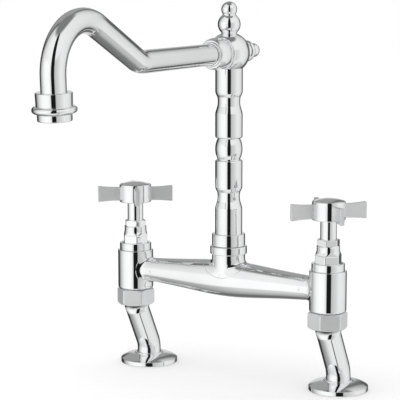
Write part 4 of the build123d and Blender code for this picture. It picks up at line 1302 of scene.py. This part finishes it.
# ---------------------------------------------------------------- spout
@dataclass(frozen=True)
class Spout(SpoutPart):
    """Bent pipe, its ring at the elbow, and the outlet with the aerator."""

    root_radius: float = 8.5
    middle_radius: float = 8.7
    mouth_radius: float = 9.05
    root: float = 15.7
    knee_radius: float = 22.0
    slope: float = 28.0
    arch_reach: float = 199.5
    arch_drop: float = 2.2
    arch_radius: float = 35.0
    tilt: float = 3.0
    collar_start: float = 10.0
    grip: float = 7.0
    ring_span: Point = (28.4, 30.6)
    ring_radii: tuple[float, float, float] = (8.65, 9.0, 10.0)
    collar_radii: Point = (12.5, 13.0)
    rim_span: Point = (19.4, 24.4)
    rim_radii: Point = (13.25, 15.75)
    insert_radius: float = 9.1
    seat_radius: float = 7.85
    seat_span: Point = (17.3, 18.5)
    thread_radius: float = 10.6
    shell_radii: Point = (10.45, 12.15)
    shell_places: tuple[float, float, float] = (20.0, 24.7, 29.7)

    def arch_end(self) -> tuple[float, float]:
        """Reach from the column and height over the pipe's root of the arch's end."""
        tilt = np.radians(self.tilt)
        return (self.arch_reach + self.arch_radius * float(np.cos(tilt)),
                -self.arch_drop - self.arch_radius * float(np.sin(tilt)))

    def pipe(self) -> Surface:
        """Pipe along lines and arcs; its heading h gives across = (0, sin h, cos h).

        Returns:
            The closed pipe.
        """
        slope, tilt = np.radians(self.slope), np.radians(self.tilt)
        start_reach = self.arch_reach - self.arch_radius * np.sin(slope)
        start_rise = self.arch_radius * np.cos(slope) - self.arch_drop
        knee = start_reach - start_rise / np.tan(slope)
        tangent = self.knee_radius * np.tan(slope / 2)
        level = np.linspace(self.root, knee - tangent, 20)
        bend = np.linspace(0, slope, 26)[1:]
        rise = np.linspace(0, 1, 20)[1:]
        over = np.linspace(slope, -np.pi / 2 - tilt, 97)[1:]
        drop = np.linspace(0, self.collar_start + self.grip, 5)[1:]
        knee_end = (knee + tangent * np.cos(slope), tangent * np.sin(slope))
        reach_end, height_end = self.arch_end()
        reach = np.r_[level, knee - tangent + self.knee_radius * np.sin(bend),
                      knee_end[0] + (start_reach - knee_end[0]) * rise,
                      self.arch_reach - self.arch_radius * np.sin(over),
                      reach_end - drop * np.sin(tilt)]
        height = np.r_[0 * level, self.knee_radius * (1 - np.cos(bend)),
                       knee_end[1] + (start_rise - knee_end[1]) * rise,
                       -self.arch_drop + self.arch_radius * np.cos(over),
                       height_end - drop * np.cos(tilt)]
        heading = np.r_[0 * level, bend, np.full(len(rise), slope), over,
                        np.full(len(drop), -np.pi / 2 - tilt)]
        radii = np.r_[np.linspace(self.root_radius, self.middle_radius, len(level)),
                      np.full(len(bend), self.middle_radius),
                      self.middle_radius + (self.mouth_radius - self.middle_radius) * rise,
                      np.full(len(over) + len(drop), self.mouth_radius)]
        route = table(0.0, self.layout.valve_y - reach, self.layout.ball_z + height)
        return swept(route, table(0.0, np.sin(heading), np.cos(heading)), radii)

    def ring(self) -> Surface:
        """Half-round ring where the pipe leaves the lobe.

        Returns:
            The closed ring.
        """
        (low, high), (bore, foot, crest) = self.ring_span, self.ring_radii
        arc = bow(foot, crest, high, low, 14)
        inside = [(foot - 0.1, low), (bore, low + 0.2), (bore, high - 0.2), (foot - 0.1, high)]
        return self.layout.level().hollow(inside, arc, inside[:1])

    def outlet_axis(self) -> Lathe:
        """Axis of the outlet: from the arch's end with the water, square to the mouth.

        Returns:
            The axis, heights counted with the water.
        """
        tilt = np.radians(self.tilt)
        reach, height = self.arch_end()
        return Lathe((0.0, self.layout.valve_y - reach, self.layout.ball_z + height),
                     (0.0, float(np.sin(tilt)), -float(np.cos(tilt))))

    def collar(self) -> Surface:
        """Collar and half-round ring, with bores for the pipe and the aerator.

        Returns:
            The closed collar.
        """
        top, (ring, foot), (edge, crest) = self.collar_start, self.rim_span, self.rim_radii
        bore, thread, (narrow, wide) = self.insert_radius, self.thread_radius, self.collar_radii
        seat, (seat_top, seat_foot) = self.seat_radius, self.seat_span
        rim = bow(edge, crest, ring, foot, 24)
        outside = softened([(bore, top + 1), (bore, top), (narrow, top), (wide, top + 0.5),
                            (edge - 0.5, ring), tuple(rim[1])], 0.3)
        inside = softened([tuple(rim[-2]), (edge, foot), (thread, foot), (thread, seat_foot),
                           (seat, seat_foot), (seat, seat_top), (bore, seat_top),
                           (bore, top + 1)], 0.3)
        return self.outlet_axis().hollow(outside, rim[2:-1], inside)

    def shell(self) -> Surface:
        """Aerator shell: threaded part in the collar and the ring that shows below it.

        Returns:
            The closed shell.
        """
        (start, seat, mouth), bore = self.shell_places, self.insert_radius
        inner, outer = self.shell_radii
        return self.outlet_axis().hollow(looped(
            [(bore, start + 1), (bore, start), (inner, start), (inner, seat), (outer, seat),
             (outer, mouth - 0.5), (outer - 0.5, mouth), (bore, mouth)], 0.35))

    def build(self) -> None:
        """Makes and dresses pipe, ring and outlet."""
        self.place("spout_bent_pipe", self.pipe(), "spout_pipe")
        self.place("pipe_ring_turned", self.ring(), "pipe_ring")
        self.place("outlet_collar_turned", self.collar(), "outlet_collar")
        self.place("aerator_ring", self.shell(), "aerator_shell")


# ---------------------------------------------------------------- studio
@dataclass(frozen=True)
class Studio:
    """Pale floor, soft surroundings that the plating mirrors, and the camera.

    Panels, ground and roof are stops (bearing in degrees, brightness). Fall, climb and summit
    are the heights of a direction, as the sine of its angle over the horizon, between which the
    panels give way to the ground, the panels to the roof and the roof to the summit's grey.
    """

    camera_place: Place = (0.6669, -1.1577, 0.3492)
    yaw: float = 31.38
    pitch: float = 8.66
    lens: float = 149.4
    sensor: float = 36.0
    sight: float = 200.0
    floor_size: float = 80.0
    floor_grey: float = 0.995
    panels: Stops = (
        (-180, 0.72), (-173, 0.66), (-168, 0.2), (-164, 0.05), (-130, 0.04), (-121, 0.32),
        (-108, 0.55), (-96, 0.76), (-84, 0.91), (-71, 1.02), (-51, 1.08), (-34, 1.05),
        (-24, 0.97), (-14.5, 0.76), (-12, 0.01), (14.7, 0.01), (16, 0.52), (26, 0.61),
        (42, 0.69), (60, 0.82), (71, 0.89), (104, 0.84), (122, 0.72), (132, 0.5), (136, 0.12),
        (163, 0.1), (168, 0.2), (173, 0.66), (180, 0.72))
    ground: Stops = (
        (-180, 0.2), (-146, 0.15), (-116, 0.34), (-93, 0.46), (-79, 0.54), (-68, 0.65),
        (-45, 0.8), (-20, 0.88), (24, 0.9), (28, 0.14), (35, 0.12), (39, 0.86), (60, 0.85),
        (100, 0.6), (140, 0.25), (180, 0.2))
    roof: Stops = (
        (-180, 0.36), (-137, 0.34), (-130, 0.17), (-120, 0.16), (-113, 0.45), (-104, 0.66),
        (-90, 0.76), (-71, 0.88), (-51, 0.94), (-14.5, 0.95), (-12, 0.01), (14.7, 0.01),
        (16, 0.9), (60, 0.9), (100, 0.86), (120, 0.79), (137, 0.69), (148, 0.54), (156, 0.36),
        (160, 0.17), (166, 0.17), (170, 0.33), (180, 0.36))
    fall: Point = (-0.56, -0.68)
    climb: Point = (0.2, 0.38)
    summit: Point = (0.84, 0.94)
    summit_grey: float = 0.22
    lamp_place: Place = (-0.6, -0.8, 2.0)
    lamp_turn: Point = (22.0, -37.0)
    lamp_size: float = 1.6
    lamp_power: float = 4.0

    def camera(self) -> None:
        """Camera at the reference angle, far off, with a long lens."""
        data = bpy.data.cameras.new("view")
        data.lens, data.sensor_width, data.clip_end = self.lens, self.sensor, self.sight
        thing = put_in_scene("view", data)
        thing.location = self.camera_place
        thing.rotation_euler = (np.radians(90 - self.pitch), 0.0, np.radians(self.yaw))
        bpy.context.scene.camera = thing

    def floor(self) -> None:
        """Pale floor: it keeps the shadow, and lets mirrored rays through to the studio."""
        half = self.floor_size / 2
        mesh = bpy.data.meshes.new("floor")
        mesh.from_pydata([(-half, -half, 0), (half, -half, 0), (half, half, 0), (-half, half, 0)],
                         [], [(0, 1, 2, 3)])
        made = bpy.data.materials.new("pale_floor")
        made.use_nodes = True
        tree = made.node_tree
        shader, leave = tree.nodes["Principled BSDF"], tree.nodes["Material Output"]
        fill(tree, shader, {"Base Color": grey(self.floor_grey), "Roughness": 1.0,
                            "Specular IOR Level": 0.0})
        rays, clear = node(tree, "ShaderNodeLightPath"), node(tree, "ShaderNodeBsdfTransparent")
        choice = node(tree, "ShaderNodeMixShader", {
            0: rays.outputs["Is Glossy Ray"], 1: shader.outputs[0], 2: clear.outputs[0]})
        fill(tree, leave, {"Surface": choice.outputs[0]})
        mesh.materials.append(made)
        put_in_scene("floor", mesh)

    @staticmethod
    def ramp(tree: bpy.types.NodeTree, share: bpy.types.NodeSocket,
             stops: Stops) -> bpy.types.NodeSocket:
        """Grey ramp round the horizon, straight between its stops.

        Args:
            tree: node tree of the world.
            share: bearing as a share of the full circle, from 0 at the rear.
            stops: bearings in degrees and their brightness.

        Returns:
            The colour for the bearing.
        """
        made = node(tree, "ShaderNodeValToRGB", {"Fac": share})
        elements = made.color_ramp.elements
        while len(elements) > 1:
            elements.remove(elements[-1])
        for index, (angle, brightness) in enumerate(stops):
            place = (angle + 180) / 360
            element = elements[0] if index == 0 else elements.new(place)
            element.position = place
            element.color = grey(brightness)
        return made.outputs["Color"]

    def surroundings(self) -> None:
        """World: white to the camera and to matt surfaces; to mirrors a ring of soft panels.

        The bearing atan2(right, towards) of a direction, measured from the camera's side, picks
        a panel's brightness. Below the horizon the panels give way to the ground, above it to
        a roof, both dark at the rear, and the roof also straight overhead.
        """
        world = bpy.data.worlds.new("studio")
        bpy.context.scene.world = world
        world.use_nodes = True
        tree = world.node_tree
        shade, leave = tree.nodes["Background"], tree.nodes["World Output"]
        place = node(tree, "ShaderNodeTexCoord").outputs["Generated"]
        sine, cosine = np.sin(np.radians(self.yaw)), np.cos(np.radians(self.yaw))
        right, towards, up = (
            node(tree, "ShaderNodeVectorMath", {0: place, 1: axis}, operation="DOT_PRODUCT")
            .outputs["Value"]
            for axis in ((cosine, sine, 0.0), (sine, -cosine, 0.0), (0.0, 0.0, 1.0)))
        bearing = node(tree, "ShaderNodeMath", {0: right, 1: towards}, operation="ARCTAN2")
        share = node(tree, "ShaderNodeMapRange", {
            "Value": bearing.outputs[0], "From Min": -np.pi, "From Max": np.pi}).outputs["Result"]
        around, below, above = (self.ramp(tree, share, stops)
                                for stops in (self.panels, self.ground, self.roof))
        fall, climb, summit = (
            node(tree, "ShaderNodeMapRange", {"Value": up, "From Min": start, "From Max": end},
                 interpolation_type="SMOOTHSTEP").outputs["Result"]
            for start, end in (self.fall, self.climb, self.summit))
        vault = mixed(tree, summit, above, grey(self.summit_grey))
        mirrored_world = mixed(tree, climb, mixed(tree, fall, around, below), vault)
        rays = node(tree, "ShaderNodeLightPath").outputs["Is Glossy Ray"]
        fill(tree, shade, {"Color": mixed(tree, rays, grey(1.0), mirrored_world)})
        fill(tree, leave, {"Surface": shade.outputs[0]})

    def lamp(self) -> None:
        """One large soft lamp from above for a faint shadow."""
        data = bpy.data.lights.new("soft_lamp", "AREA")
        data.shape, data.size, data.energy = "DISK", self.lamp_size, self.lamp_power
        thing = put_in_scene("soft_lamp", data)
        thing.location = self.lamp_place
        pitch, yaw = np.radians(self.lamp_turn)
        thing.rotation_euler = (pitch, 0.0, yaw)
        thing.visible_glossy = False

    def build(self) -> None:
        """Sets up camera, floor, world and lamp."""
        self.camera()
        self.floor()
        self.surroundings()
        self.lamp()
        bpy.context.scene.view_settings.view_transform = "Standard"


def dress_packed_nodes() -> None:
    """Gives every carried-over CAD node the finish of its record slot.

    The brass nuts and washers under the deck aren't mirrored, as the floor would hide them.
    """
    slots = {entry["node"]: entry["material_slot"] for entry in frame["record"]["subparts"]}
    for name, thing in frame["nodes"].items():
        Finish[slots[name].upper()].dress(thing)
        thing.visible_glossy = not name.endswith(("_backnut", "_deck_washer"))
        LOG.info("%s: %s", name, slots[name])


def main() -> None:
    """Builds the tap piece by piece, then the studio."""
    logging.basicConfig(level=logging.INFO, format="%(name)s: %(message)s")
    layout = Layout()
    dress_packed_nodes()
    # degrees from the front to +X: a corner of the nut, one of the bonnet, a blade
    turns = {Side.LEFT: (52.0, 38.0, 37.3), Side.RIGHT: (6.0, 14.5, 46.5)}
    for side, (nut_turn, bonnet_turn, blade_turn) in turns.items():
        DeckLeg(side, layout, nut_turn).build()
        Headwork(side, layout, bonnet_turn).build()
        CrossHandle(side, layout, blade_turn).build()
    Bridge(layout).build()
    Column(layout).build()
    Elbow(layout).build()
    Spout(layout).build()
    Studio().build()


if __name__ == "__main__":
    main()
